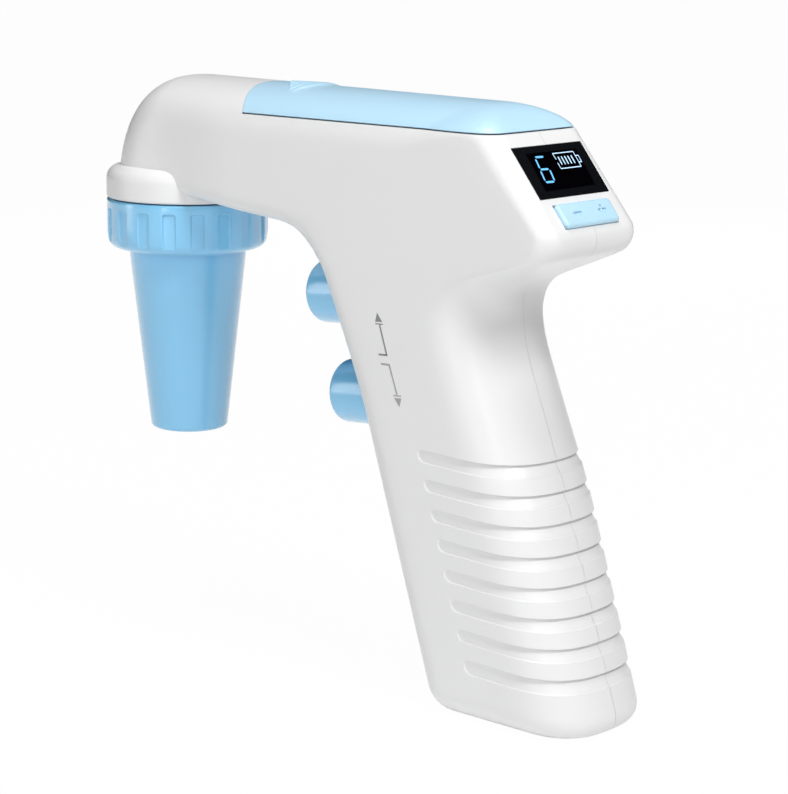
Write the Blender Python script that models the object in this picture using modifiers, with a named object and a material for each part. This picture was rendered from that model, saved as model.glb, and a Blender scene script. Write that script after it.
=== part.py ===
"""Pipette controller: a hand-held, battery-driven pump for filling and emptying glass pipettes.

Blender 4.5, metres, +Z up. All sizes below are millimetres and are turned to metres by MM.
The layout is drawn from the nose axis: x = 0 on the axis of the cone, z = 0 where the blue collar
meets the white skirt, +x towards the display. An empty then sets the part down on z = 0, centred.
"""
import math

import bmesh
import bpy
import numpy as np
from mathutils import Matrix, Vector

MM = 0.001

# The cell sets the barrel's length, and everything behind it is placed from the barrel's rear end
CELL_R = 9.2
CELL_LENGTH = 65.0
CELL_FRONT_X = 34.0
REAR_X = CELL_FRONT_X + CELL_LENGTH + 2.4

# Housing, two moulded halves that meet at y = 0
BODY_WIDTH = 31.5
NOSE_TAPER = 22.0
WALL = 2.0
SEAM_GAP = 0.3
FIT = 0.3
SKIRT_R = 19.0
SPIGOT_R = SKIRT_R - 3.8
SPIGOT_WALL = 2.6
NOSE_WIDTH = 2 * (SPIGOT_R - SPIGOT_WALL + 1.8)
SKIRT_HEIGHT = 8.1
SHOULDER = 3.3
DOME_X = 5.4
DOME_Z = 7.6
DOME_REACH = 22.4
CREST_Z = 28.75
CREST_FALL = 1.15
REAR_ROUND = 15.0
LIP_X = REAR_X + 22.55
LIP_Z = -0.45
LIP_ROUND = 4.3
NECK_X = REAR_X + 1.2
NECK_Z = -10.2
NECK_ROUND = 5.2
SWELL_Z = -20.9
SWELL_ROUND = 36.0
GRIP_BEND_X = REAR_X + 13.3
GRIP_BEND_Z = -52.0
GRIP_BOTTOM_Z = -102.6
GRIP_BACK_X = REAR_X + 29.5
GRIP_FRONT_X = REAR_X - 12.2
FINGER_X = REAR_X - 48.4
FINGER_Z = -2.0
FINGER_ROUND = 17.2
FRONT_BEND_X = REAR_X - 33.5
FRONT_BEND_Z = -37.5
UNDERSIDE_Z = 2.9
BOTTOM_ROUND = 5.0
CREST_ROUND = 10.5
CREST_POWER = 2.3

# Finger grooves round the back of the grip
GROOVES = 8
GROOVE_TOP_Z = -46.8
GROOVE_PITCH = 6.19
GROOVE_WIDTH = 2.75
GROOVE_DEPTH = 0.85
GROOVE_START_X = REAR_X - 14.2
GROOVE_SLOPE = 0.316

# Nose: collar and cone are one moulding that unscrews from the spigot
COLLAR_DROP = 12.0
COLLAR_LIP = 2.6
COLLAR_SLOTS = 18
SLOT_WIDTH = 3.1
SLOT_DEPTH = 0.5
CONE_TOP_R = 13.8
CONE_TIP_R = 9.2
CONE_LENGTH = 55.5
CONE_WALL = 1.6
SPIGOT_DROP = 9.0
FLANGE_R = SPIGOT_R + 1.5
FLANGE_THICK = 1.8
FLANGE_Z = 3.3
FILTER_R = SPIGOT_R - SPIGOT_WALL - 0.8
FILTER_THICK = 5.4
MOUTH_BORE_R = 5.2
MIDDLE_BORE_R = 4.4
TOP_BORE_R = 3.7
HOLDER_RECESS = 1.3

# Battery bay and its sliding cover
COVER_Z = 22.15
COVER_WALL = 1.6
COVER_FRONT_X = 28.9
COVER_BOW = 5.5
CELL_Z = 16.1
TRAY_WALL = 1.3
TRAY_DECK = 1.4
TRAY_DECK_Z = COVER_Z - 0.35
TRAY_HALF = CELL_R + FIT + TRAY_WALL
TRAY_FRONT = CELL_FRONT_X - 2.6
TRAY_BACK = CELL_FRONT_X + CELL_LENGTH + 1.0
CATCH_X = 33.7
CATCH_LENGTH = 13.0
CATCH_WIDTH = 12.0
CATCH_HEIGHT = 2.2
CATCH_SINK = 1.5

# Display and rocker key on the sloping facet, measured down the slope from its upper edge
WINDOW_TOP = 3.15
WINDOW_LENGTH = 12.7
WINDOW_WIDTH = 23.0
WINDOW_THICK = 1.0
GLASS_THICK = 2.2
BOARD_THICK = 1.2
BOARD_DEPTH = 5.3
KEY_TOP = 17.6
KEY_LENGTH = 5.5
KEY_WIDTH = 17.3
KEY_PROUD = 0.9
KEY_BEVEL = 0.6
SWITCH_OFFSET = 6.0
SWITCH_SIZE = 3.6
PIN_R = 0.6
PIN_HALF = 4.2
PIN_DEPTH = 2.3
PIN_BOSS_R = 2.0
PIN_BOSS = 1.3

# Triggers: drawn in a frame that rises four degrees towards the back
TRIGGER_RISE = 4.0
TRIGGER_R = 7.15
TRIGGER_EDGE = 1.0
TRIGGER_LENGTH = 20.6
TRIGGER_FLANGE_R = 8.4
TRIGGER_FLANGE = 1.5
TRIGGER_STROKE = 5.0
UPPER_FACE_X = REAR_X - 56.0
UPPER_FACE_Z = -17.7
LOWER_FACE_X = REAR_X - 48.7
LOWER_FACE_Z = -39.6
SPRING_R = 4.2
SPRING_WIRE = 0.7
SPRING_TURNS = 5
STEM_R = 1.5
SEAL_WIRE = 0.45
VALVE_FRONT = 28.5
VALVE_BACK = 50.0
VALVE_WIDTH = 16.0
VALVE_MARGIN = 7.0

# Pump in the grip, tilted like the grip
PUMP_TILT = 18.0
PUMP_X = REAR_X - 2.9
PUMP_Z = -68.0
PUMP_HEAD = 22.0
PUMP_HEAD_HEIGHT = 15.0
INLET_X = -7.5
OUTLET_X = 0.5
MOTOR_R = 10.0
MOTOR_LENGTH = 18.0

# Silicone tubes pushed over spouts
TUBE_R = 2.2
TUBE_BORE_R = 1.6
SPOUT_R = 1.2
SPOUT_LENGTH = 3.2
TUBE_SIDE = 11.0
TUBE_Z = 7.4

# Boards and charging socket
MAIN_BOARD_Y = 11.4
MAIN_BOARD = (REAR_X - 26.4, REAR_X - 9.4, -41.0, -13.0)
JACK_SIZE = 9.0
JACK_LENGTH = 11.0
JACK_PIN_R = 1.0
JACK_BORE_R = 2.9
JACK_X = REAR_X + 1.6

# Housing screws, places in x, z
SCREW_PLACES = [(21.0, 19.0), (REAR_X - 38.9, -1.0), (REAR_X + 2.6, -1.0), (REAR_X - 21.6, -54.0),
                (REAR_X - 7.9, -91.5)]
SCREW_R = 1.2
SCREW_HEAD_R = 2.2
SCREW_LENGTH = 16.0
SCREW_DEEP = 9.0
BOSS_R = 3.0
WELL_DEPTH = 5.5

SPOUTS = [("nose", 46.0, 1), ("suction", 37.0, -1), ("pressure", 46.0, -1)]
FILTER_TOP = -SPIGOT_DROP + 1.8 + FIT + FILTER_THICK + 0.8

HALF_WIDTH = BODY_WIDTH / 2
INNER_HALF = HALF_WIDTH - WALL
NOSE_NARROW = (BODY_WIDTH - NOSE_WIDTH) / 2

MATERIALS = {
    "housing_white": ((0.86, 0.87, 0.88), 0.38, 0.0),
    "cover_blue": ((0.52, 0.76, 0.93), 0.35, 0.0),
    "nose_blue": ((0.20, 0.48, 0.78), 0.35, 0.0),
    "window_black": ((0.01, 0.01, 0.015), 0.08, 0.0),
    "board_green": ((0.02, 0.22, 0.10), 0.50, 0.0),
    "glass_grey": ((0.20, 0.24, 0.28), 0.15, 0.0),
    "silicone": ((0.75, 0.76, 0.74), 0.55, 0.0),
    "steel": ((0.62, 0.62, 0.64), 0.30, 1.0),
    "cell_wrap": ((0.05, 0.20, 0.45), 0.40, 0.0),
    "black_plastic": ((0.03, 0.03, 0.035), 0.50, 0.0),
    "grey_plastic": ((0.45, 0.47, 0.50), 0.45, 0.0),
    "seal_rubber": ((0.02, 0.02, 0.02), 0.70, 0.0),
}


for leftover in list(bpy.data.objects):
    bpy.data.objects.remove(leftover, do_unlink=True)
for leftover in list(bpy.data.collections):
    bpy.data.collections.remove(leftover)

parts = bpy.data.collections.new("pipette_controller")
cutters = bpy.data.collections.new("cutters")
bpy.context.scene.collection.children.link(parts)
bpy.context.scene.collection.children.link(cutters)


def material(name):
    found = bpy.data.materials.get(name)
    if found:
        return found
    colour, roughness, metallic = MATERIALS[name]
    made = bpy.data.materials.new(name)
    made.use_nodes = True
    shader = made.node_tree.nodes["Principled BSDF"]
    shader.inputs["Base Color"].default_value = (*colour, 1.0)
    shader.inputs["Roughness"].default_value = roughness
    shader.inputs["Metallic"].default_value = metallic
    made.diffuse_color = (*colour, 1.0)
    return made


def empty(name, x=0.0, z=0.0, tilt=0.0, parent=None):
    """An axis system to hang pieces on; tilt turns it about Y, in degrees."""
    frame = bpy.data.objects.new(name, None)
    frame.location = (x * MM, 0.0, z * MM)
    frame.rotation_euler = (0.0, math.radians(tilt), 0.0)
    frame.parent = parent
    parts.objects.link(frame)
    return frame


def add_object(name, mesh, finish, parent, place=(0, 0, 0), turn=(0, 0, 0)):
    """finish is a material's name, or None for a cutter."""
    item = bpy.data.objects.new(name, mesh)
    item.location = Vector(place) * MM
    item.rotation_euler = [math.radians(angle) for angle in turn]
    item.parent = parent
    if finish:
        mesh.materials.clear()
        mesh.materials.append(material(finish))
        parts.objects.link(item)
    else:
        item.hide_render = True
        item.display_type = "WIRE"
        cutters.objects.link(item)
    return item


def mesh_from(name, builder):
    mesh = bpy.data.meshes.new(name)
    work = bmesh.new()
    builder(work)
    bmesh.ops.recalc_face_normals(work, faces=work.faces)
    work.to_mesh(mesh)
    work.free()
    return mesh


def block(name, low, high, finish, parent, bevel=0.0, place=(0, 0, 0), turn=(0, 0, 0)):
    """A box between two corners, with an optional rounded edge."""
    low, high = Vector(low), Vector(high)

    def build(work):
        bmesh.ops.create_cube(work, size=1.0)
        bmesh.ops.scale(work, vec=(high - low) * MM, verts=work.verts)
        bmesh.ops.translate(work, vec=(high + low) / 2 * MM, verts=work.verts)

    item = add_object(name, mesh_from(name, build), finish, parent, place, turn)
    if bevel:
        rounding = item.modifiers.new("edges", "BEVEL")
        rounding.width = bevel * MM
        rounding.segments = 2
    return item


def rod(name, r, low, high, finish, parent, axis="Z", sides=24, place=(0, 0, 0), turn=(0, 0, 0)):
    """A cylinder from low to high along one axis."""
    spin = {"X": Matrix.Rotation(math.pi / 2, 3, "Y"), "Y": Matrix.Rotation(-math.pi / 2, 3, "X"),
            "Z": Matrix.Identity(3)}[axis]

    def build(work):
        bmesh.ops.create_cone(work, cap_ends=True, segments=sides, radius1=r * MM, radius2=r * MM,
                              depth=(high - low) * MM)
        bmesh.ops.translate(work, vec=(0, 0, (high + low) / 2 * MM), verts=work.verts)
        bmesh.ops.rotate(work, matrix=spin, verts=work.verts)

    item = add_object(name, mesh_from(name, build), finish, parent, place, turn)
    soften(item)
    return item


def soften(item, angle=35.0):
    item.data.shade_smooth()
    item.data.set_sharp_from_angle(angle=math.radians(angle))


def turned(name, profile, finish, parent, sides=48, place=(0, 0, 0), turn=(0, 0, 0)):
    """Profile is (radius, height) pairs, running down the outer side; turned about Z."""
    mesh = bpy.data.meshes.new(name)
    points = [(r * MM, 0.0, z * MM) for r, z in profile]
    edges = [(k, k + 1) for k in range(len(points) - 1)]
    if profile[0][0] > 0:
        edges.append((len(points) - 1, 0))
    mesh.from_pydata(points, edges, [])
    item = add_object(name, mesh, finish, parent, place, turn)
    screw = item.modifiers.new("turn", "SCREW")
    screw.steps = screw.render_steps = sides
    screw.use_merge_vertices = True
    screw.merge_threshold = 0.00001
    screw.use_smooth_shade = True
    return item


def quarter(centre_r, centre_z, radius, start, end, steps=4):
    """Points on an arc in (radius, height), angles in degrees from +r."""
    angles = np.radians(np.linspace(start, end, steps + 1))
    return [(centre_r + radius * math.cos(a), centre_z + radius * math.sin(a)) for a in angles]


def as_mesh(curve_object, name, finish, parent):
    """Replace a curve by the closed mesh that it evaluates to."""
    bpy.context.view_layer.update()
    graph = bpy.context.evaluated_depsgraph_get()
    mesh = bpy.data.meshes.new_from_object(curve_object.evaluated_get(graph))
    work = bmesh.new()
    work.from_mesh(mesh)
    bmesh.ops.remove_doubles(work, verts=work.verts, dist=0.000001)
    bmesh.ops.recalc_face_normals(work, faces=work.faces)
    work.to_mesh(mesh)
    work.free()
    place = curve_object.matrix_world.copy()
    bpy.data.objects.remove(curve_object, do_unlink=True)
    item = add_object(name, mesh, finish, parent)
    item.matrix_basis = place
    return item


def wire(name, points, radius, finish, parent, closed=False):
    """A round bar along a list of points, in millimetres."""
    data = bpy.data.curves.new(name, "CURVE")
    data.dimensions = "3D"
    data.bevel_depth = radius * MM
    data.bevel_resolution = 1
    data.use_fill_caps = True
    spline = data.splines.new("POLY")
    spline.points.add(len(points) - 1)
    for knot, point in zip(spline.points, points):
        knot.co = (*(Vector(point) * MM), 1.0)
    spline.use_cyclic_u = closed
    item = bpy.data.objects.new(name, data)
    parts.objects.link(item)
    made = as_mesh(item, name, finish, parent)
    made.data.shade_smooth()
    return made


def tube(name, path, count):
    """A hollow tube along a smooth path: an outer and an inner skin joined at both ends."""
    line = through(path, count)
    sides = 8

    def build(work):
        skins = []
        for radius in (TUBE_R, TUBE_BORE_R):
            across = Vector((0, 1, 0))
            rings = []
            for k, centre in enumerate(line):
                ahead = (line[min(k + 1, count - 1)] - line[max(k - 1, 0)]).normalized()
                across = (across - ahead * across.dot(ahead)).normalized()
                other = ahead.cross(across)
                turns = np.linspace(0, 2 * math.pi, sides, endpoint=False)
                spots = [centre + (across * math.cos(a) + other * math.sin(a)) * radius for a in turns]
                rings.append([work.verts.new(spot * MM) for spot in spots])
            skins.append(rings)
            for a, b in zip(rings, rings[1:]):
                for k in range(sides):
                    work.faces.new((a[k], a[(k + 1) % sides], b[(k + 1) % sides], b[k]))
        for end in (0, -1):
            a, b = skins[0][end], skins[1][end]
            for k in range(sides):
                work.faces.new((a[k], a[(k + 1) % sides], b[(k + 1) % sides], b[k]))

    item = add_object(name, mesh_from(name, build), "silicone", nose)
    soften(item)
    return item


def through(points, count):
    """Even points on a smooth curve through the given ones."""
    knots = [Vector(p) for p in points]
    knots = [2 * knots[0] - knots[1]] + knots + [2 * knots[-1] - knots[-2]]
    found = []
    spans = len(knots) - 3
    for k in range(count):
        t = k / (count - 1) * spans
        i = min(int(t), spans - 1)
        f = t - i
        a, b, c, d = knots[i:i + 4]
        found.append(0.5 * (2 * b + (c - a) * f + (2 * a - 5 * b + 4 * c - d) * f ** 2
                            + (3 * b - a - 3 * c + d) * f ** 3))
    return found


def plan_solid(name, outline, low, high, finish, parent, along="Z"):
    """A flat outline in x, y extruded up, or in y, z extruded along X, from low to high."""
    data = bpy.data.curves.new(name, "CURVE")
    data.dimensions = "2D"
    data.fill_mode = "BOTH"
    data.extrude = (high - low) / 2 * MM
    spline = data.splines.new("POLY")
    spline.points.add(len(outline) - 1)
    for knot, (x, y) in zip(spline.points, outline):
        knot.co = (x * MM, y * MM, 0.0, 1.0)
    spline.use_cyclic_u = True
    item = bpy.data.objects.new(name, data)
    parts.objects.link(item)
    made = as_mesh(item, name, finish, parent)
    if along == "X":
        made.rotation_euler = (math.pi / 2, 0, math.pi / 2)
        made.location.x = (high + low) / 2 * MM
    else:
        made.location.z = (high + low) / 2 * MM
    return made


def combine(item, other, operation="DIFFERENCE"):
    """Boolean with another object, which must be a cutter."""
    step = item.modifiers.new(other.name, "BOOLEAN")
    step.operation = operation
    step.object = other
    return step


class Outline:
    """A side outline: straight runs joined by fillets, read by length or by height."""

    def __init__(self, corners):
        self.marks = []
        points = []
        knots = [np.array(c[:2]) for c in corners]
        for k, corner in enumerate(corners):
            here = knots[k]
            radius = corner[2]
            if radius == 0:
                points.append(here)
                continue
            back = (knots[k - 1] - here) / np.linalg.norm(knots[k - 1] - here)
            ahead = (knots[k + 1] - here) / np.linalg.norm(knots[k + 1] - here)
            half_angle = math.acos(np.clip(back @ ahead, -1, 1)) / 2
            reach = radius / math.tan(half_angle)
            centre = here + (back + ahead) / np.linalg.norm(back + ahead) * radius / math.sin(half_angle)
            start = here + back * reach - centre
            sweep = math.pi - 2 * half_angle
            side = np.sign(start[1] * back[0] - start[0] * back[1])
            steps = 24
            first = len(points)
            for a in np.linspace(0, sweep, steps + 1) * side:
                points.append(centre + [start[0] * math.cos(a) - start[1] * math.sin(a),
                                        start[0] * math.sin(a) + start[1] * math.cos(a)])
            self.marks += [first, first + steps]
        self.points = np.array(points)
        gaps = np.linalg.norm(np.diff(self.points, axis=0), axis=1)
        self.lengths = np.concatenate([[0], np.cumsum(gaps)])
        self.marks = [self.lengths[m] for m in self.marks]
        heading = np.gradient(self.points, self.lengths, axis=0)
        heading /= np.linalg.norm(heading, axis=1)[:, None]
        self.left = np.stack([-heading[:, 1], heading[:, 0]], axis=1)

    def at(self, length, inset=0.0):
        """The point at a length, moved to the right of the way by inset, and the left normal."""
        point = np.array([np.interp(length, self.lengths, self.points[:, k]) for k in (0, 1)])
        normal = np.array([np.interp(length, self.lengths, self.left[:, k]) for k in (0, 1)])
        normal /= np.linalg.norm(normal)
        return point - normal * inset, normal

    def length_at_height(self, z, inset=0.0, start=0.0):
        """Length where the inset outline comes down through a height, searched from start."""
        tries = np.linspace(start, self.lengths[-1], 900)
        heights = np.array([self.at(s, inset)[0][1] for s in tries])
        below = np.nonzero(heights <= z)[0]
        if len(below) == 0:
            return tries[-1]
        k = max(below[0], 1)
        share = (heights[k - 1] - z) / max(heights[k - 1] - heights[k], 1e-9)
        return tries[k - 1] + (tries[k] - tries[k - 1]) * min(max(share, 0.0), 1.0)


outer = Outline([(DOME_X, CREST_Z, 0), (REAR_X, CREST_Z - CREST_FALL, REAR_ROUND),
                 (LIP_X, LIP_Z, LIP_ROUND), (NECK_X, NECK_Z, NECK_ROUND),
                 (NECK_X - 0.1, SWELL_Z, SWELL_ROUND), (GRIP_BEND_X, GRIP_BEND_Z, 120.0),
                 (GRIP_BACK_X, GRIP_BOTTOM_Z, 0)])
finger = Outline([(DOME_X, UNDERSIDE_Z, 0), (FINGER_X, FINGER_Z, FINGER_ROUND),
                  (FRONT_BEND_X, FRONT_BEND_Z, 150.0), (GRIP_FRONT_X, GRIP_BOTTOM_Z, 0)])

REAR_START, REAR_END, LIP_START, LIP_END, NECK_START = outer.marks[:5]
CURL_START, CURL_END = finger.marks[:2]


def eased(knots, values, at):
    """Smooth steps through a short table, with no overshoot."""
    k = int(np.clip(np.searchsorted(knots, at) - 1, 0, len(knots) - 2))
    t = np.clip((at - knots[k]) / (knots[k + 1] - knots[k]), 0, 1)
    t = t * t * (3 - 2 * t)
    return np.array(values[k]) * (1 - t) + np.array(values[k + 1]) * t


# How the rounding changes along the outer outline: depth, half-width and power of the crown
CROWN_AT = [REAR_START, REAR_END, LIP_START, LIP_END, NECK_START, NECK_START + 10, NECK_START + 24,
            NECK_START + 60]
CROWN = [(19.4, HALF_WIDTH, 2.3), (5.0, 5.0, 2.0), (4.2, 4.2, 2.0), (5.5, 6.5, 2.0),
         (9.5, 12.0, 2.1), (14.0, HALF_WIDTH, 2.1), (15.0, HALF_WIDTH, 2.3), (15.0, HALF_WIDTH, 2.6)]
# The finger side: a tight edge under the barrel, softer down the grip
EDGE_AT = [CURL_START - 12, CURL_START + 8, CURL_END + 20]
EDGE = [3.0, 5.0, 6.5]
CROWN_POINTS = 7
EDGE_POINTS = 3


def superellipse(depth, half, power, flat_half, count):
    """(back, out) pairs from the centre line to the flank; back is measured in from the end."""
    fine = np.linspace(0, math.pi / 2, 60)
    back = depth * (1 - np.cos(fine) ** (2 / power))
    out = (flat_half - half) + half * np.sin(fine) ** (2 / power)
    if flat_half - half > 0.01:
        back = np.concatenate([[0], back])
        out = np.concatenate([[0], out])
    run = np.hypot(np.diff(back), np.diff(out))
    heading = np.unwrap(np.arctan2(np.diff(back), np.diff(out)))
    bend = np.abs(np.diff(heading, prepend=heading[0]))
    spread = np.concatenate([[0], np.cumsum(run / run.sum() + bend / max(bend.sum(), 1e-6))])
    wanted = np.linspace(0, spread[-1], count)
    return np.interp(wanted, spread, back), np.interp(wanted, spread, out)


def narrowing(length):
    """How much slimmer each flank is near the nose, by length along the crest."""
    t = min(length / NOSE_TAPER, 1.0)
    return NOSE_NARROW * (1 - t * t * (3 - 2 * t))


def dome_tip(pole, way, inset):
    """Where a ray from the dome's pole meets its side profile, an ellipse about (DOME_X, 0)."""
    reach, height = DOME_REACH - inset, CREST_Z - inset
    a = (way[0] / reach) ** 2 + (way[1] / height) ** 2
    b = pole[1] * way[1] / height ** 2
    c = (pole[1] / height) ** 2 - 1
    return pole + way * (math.sqrt(b * b - a * c) - b) / a


def section(end, start, crown, edge, split, inset, groove, shrink=0.0, narrow=0.0):
    """One closed section between the outer point and the finger-side point, both (x, z)."""
    half_width = HALF_WIDTH - narrow - inset - shrink
    end, start = np.array(end), np.array(start)
    length = np.linalg.norm(end - start)
    along = (end - start) / length
    depth, half, power = crown
    depth = max(depth - inset - shrink, 0.8)
    half = min(max(half - inset - shrink, 0.8), half_width)
    back, out = superellipse(depth, half, power, half_width, CROWN_POINTS)
    edge = max(edge - inset - shrink, 0.8)
    edge_back, edge_out = superellipse(edge, edge, 2.0, half_width, EDGE_POINTS)
    points = [(length - b, o, 1.0) for b, o in zip(back, out)]
    top, bottom = length - back[-1], edge_back[-1]
    for level, cut in zip((split[0] * length, split[1] * length), (1.0, 0.0)):
        points.append((min(max(level, bottom + 0.3), top - 0.3), half_width, cut))
    points += [(b, o, 0.0) for b, o in zip(edge_back[::-1], edge_out[::-1])]
    found = []
    for level, reach, cut in points:
        bare = groove * cut
        spot = start + along * (level - bare * (level > top))
        found.append((spot[0], max(reach - bare, 0.0), spot[1]))
    return found


def split_at(start, end):
    """Where the two middle flank points go: they mark where the grooves begin."""
    groove_x = GROOVE_START_X + (GROOVE_TOP_Z - start[1]) * GROOVE_SLOPE
    length = end[0] - start[0]
    return (groove_x + 0.5 - start[0]) / length, (groove_x - 0.5 - start[0]) / length


def housing_sections(inset, grooved, counts):
    """All sections from the dome to the foot, each as points on one side of y = 0."""
    dome_steps, crest_steps, turn_steps = counts
    pole = np.array([DOME_X, DOME_Z])
    sections = []
    first_end, _ = outer.at(0.0, inset)
    first_start, _ = finger.at(0.0, -inset)
    first_length = first_end[1] - first_start[1]
    pole_share = (DOME_Z - first_start[1]) / first_length
    opening = section(first_end, first_start, (CREST_ROUND, HALF_WIDTH, CREST_POWER), EDGE[0],
                      (pole_share, pole_share * 0.5), inset, 0.0, narrow=NOSE_NARROW)
    for k in range(dome_steps):
        share = k / dome_steps
        angle = math.pi * (1 - share / 2)
        depth = NOSE_WIDTH / 2 + (CREST_ROUND - NOSE_WIDTH / 2) * share
        power = 2.0 + (CREST_POWER - 2.0) * share
        tip = dome_tip(pole, np.array([math.cos(angle), math.sin(angle)]), inset)
        fan = section(tip, pole, (depth, HALF_WIDTH, power), 1.0, (0.1, 0.05), inset, 0.0,
                      narrow=NOSE_NARROW)
        sections.append(fan[:CROWN_POINTS] + opening[CROWN_POINTS:])
    finger_knots = [0.0, 24.6, REAR_START, REAR_END, LIP_START, LIP_END]
    turn = CURL_END - CURL_START
    finger_values = [0.0, 24.6, CURL_START + 0.25 * turn, CURL_START + 0.38 * turn,
                     CURL_START + 0.55 * turn, CURL_START + 0.68 * turn]
    stops = list(np.linspace(0, REAR_START, crest_steps))
    for low, high, share in ((REAR_START, REAR_END, 0.8), (REAR_END, LIP_START, 0.4),
                             (LIP_START, LIP_END, 1.0), (LIP_END, NECK_START, 0.3)):
        steps = max(int(turn_steps * share), 2)
        stops += list(np.linspace(low, high, steps + 1)[1:])
    stops.pop()
    for length in stops:
        end, normal = outer.at(length, inset)
        finger_length = np.interp(length, finger_knots, finger_values)
        start, _ = finger.at(finger_length, -inset)
        way = (end - start) / np.linalg.norm(end - start)
        if length <= REAR_START:
            slant = max(way @ normal, 0.4)
            crown = (CREST_ROUND / slant, HALF_WIDTH, CREST_POWER)
        else:
            crown = eased(CROWN_AT, CROWN, length)
        edge = float(eased(EDGE_AT, EDGE, finger_length))
        share = np.interp(length, [0, LIP_END], [pole_share, 0.8])
        sections.append(section(end, start, crown, edge, (share, share * 0.5), inset, 0.0,
                                narrow=narrowing(length)))
    for z, groove in lower_heights(inset, grooved):
        length = outer.length_at_height(z, inset, NECK_START - 4)
        end, _ = outer.at(length, inset)
        finger_length = finger.length_at_height(z, -inset)
        start, _ = finger.at(finger_length, -inset)
        crown = eased(CROWN_AT, CROWN, length)
        edge = float(eased(EDGE_AT, EDGE, finger_length))
        sections.append(section(end, start, crown, edge, split_at(start, end), inset, groove))
    foot = GRIP_BOTTOM_Z + inset
    round_r = max(BOTTOM_ROUND - inset, 1.0)
    for angle in np.radians(np.linspace(0, 90, 5)[1:]):
        z = foot + round_r * (1 - math.sin(angle))
        shrink = round_r * (1 - math.cos(angle))
        end, _ = outer.at(outer.length_at_height(z, inset, NECK_START), inset)
        start, _ = finger.at(finger.length_at_height(z, -inset), -inset)
        end, start = end - [shrink, 0], start + [shrink, 0]
        sections.append(section(end, start, CROWN[-1], EDGE[-1], split_at(start, end), inset, 0.0,
                                shrink))
    return sections


def lower_heights(inset, grooved):
    """Heights of the level sections from the neck to the foot, with each one's groove depth."""
    neck_z = outer.at(NECK_START, inset)[0][1]
    bottom = GRIP_BOTTOM_Z + max(BOTTOM_ROUND, inset + 1.0)
    levels = [(neck_z - d, 0.0) for d in (0.0, 1.2, 2.6, 4.5, 8.0, 13.0, 19.0, 25.0, 31.0)]
    if not grooved:
        return levels + [(z, 0.0) for z in np.linspace(GROOVE_TOP_Z, bottom, 6)]
    for k in range(GROOVES):
        top = GROOVE_TOP_Z - k * GROOVE_PITCH
        levels += [(top + 0.15, 0.0), (top, GROOVE_DEPTH), (top - GROOVE_WIDTH, 0.0)]
    return levels + [(bottom, 0.0)]


def housing_mesh(name, inset, grooved, counts):
    """Skin the sections; the dome's meridians meet in a pole on each flank."""
    sections = housing_sections(inset, grooved, counts)

    def build(work):
        rings = []
        for half in sections:
            loop = [(x, -y, z) for x, y, z in half] + [(x, y, z) for x, y, z in half[-2:0:-1]]
            rings.append([work.verts.new(Vector(p) * MM) for p in loop])
        size = len(rings[0])
        for a, b in zip(rings, rings[1:]):
            for k in range(size):
                work.faces.new((a[k], a[(k + 1) % size], b[(k + 1) % size], b[k]))
        hub = work.verts.new(Vector((DOME_X, 0, DOME_Z)) * MM)
        for k in range(size):
            work.faces.new((rings[0][(k + 1) % size], rings[0][k], hub))
        work.faces.new(rings[-1])
        bmesh.ops.remove_doubles(work, verts=work.verts, dist=0.000002)

    return mesh_from(name, build)


def display_frame_place():
    """Upper edge of the facet, where the cover ends, and the slope's angle below the level."""
    point, _ = outer.at(REAR_END)
    down = outer.at(LIP_START)[0] - point
    return point, math.degrees(math.atan2(-down[1], down[0]))


# The nose frame stands so that the whole part rests on z = 0, centred on x = 0
FULL_REACH = max(p[0] for s in housing_sections(0.0, False, (2, 2, 2))[-8:] for p in s)
NOSE_X = (SKIRT_R - FULL_REACH) / 2
nose = empty("nose_frame", NOSE_X, -GRIP_BOTTOM_Z)
facet_point, facet_angle = display_frame_place()
facet = empty("facet_frame", facet_point[0], facet_point[1], facet_angle, nose)
upper_valve = empty("upper_trigger_frame", UPPER_FACE_X, UPPER_FACE_Z, -TRIGGER_RISE, nose)
lower_valve = empty("lower_trigger_frame", LOWER_FACE_X, LOWER_FACE_Z, -TRIGGER_RISE, nose)
pump = empty("pump_frame", PUMP_X, PUMP_Z, -PUMP_TILT, nose)


def bow_outline(clearance):
    """Plan of the battery cover: bowed front, straight sides past the flanks and the back."""
    sagitta = COVER_BOW
    chord = HALF_WIDTH
    radius = (chord ** 2 + sagitta ** 2) / (2 * sagitta)
    wide = HALF_WIDTH + 4
    spread = math.asin(min(wide / radius, 1.0))
    centre = COVER_FRONT_X + radius
    bow = [(centre - (radius - clearance) * math.cos(a), (radius - clearance) * math.sin(a))
           for a in np.linspace(spread, -spread, 17)]
    return bow + [(REAR_X + 14, -wide), (REAR_X + 14, wide)]


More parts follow.
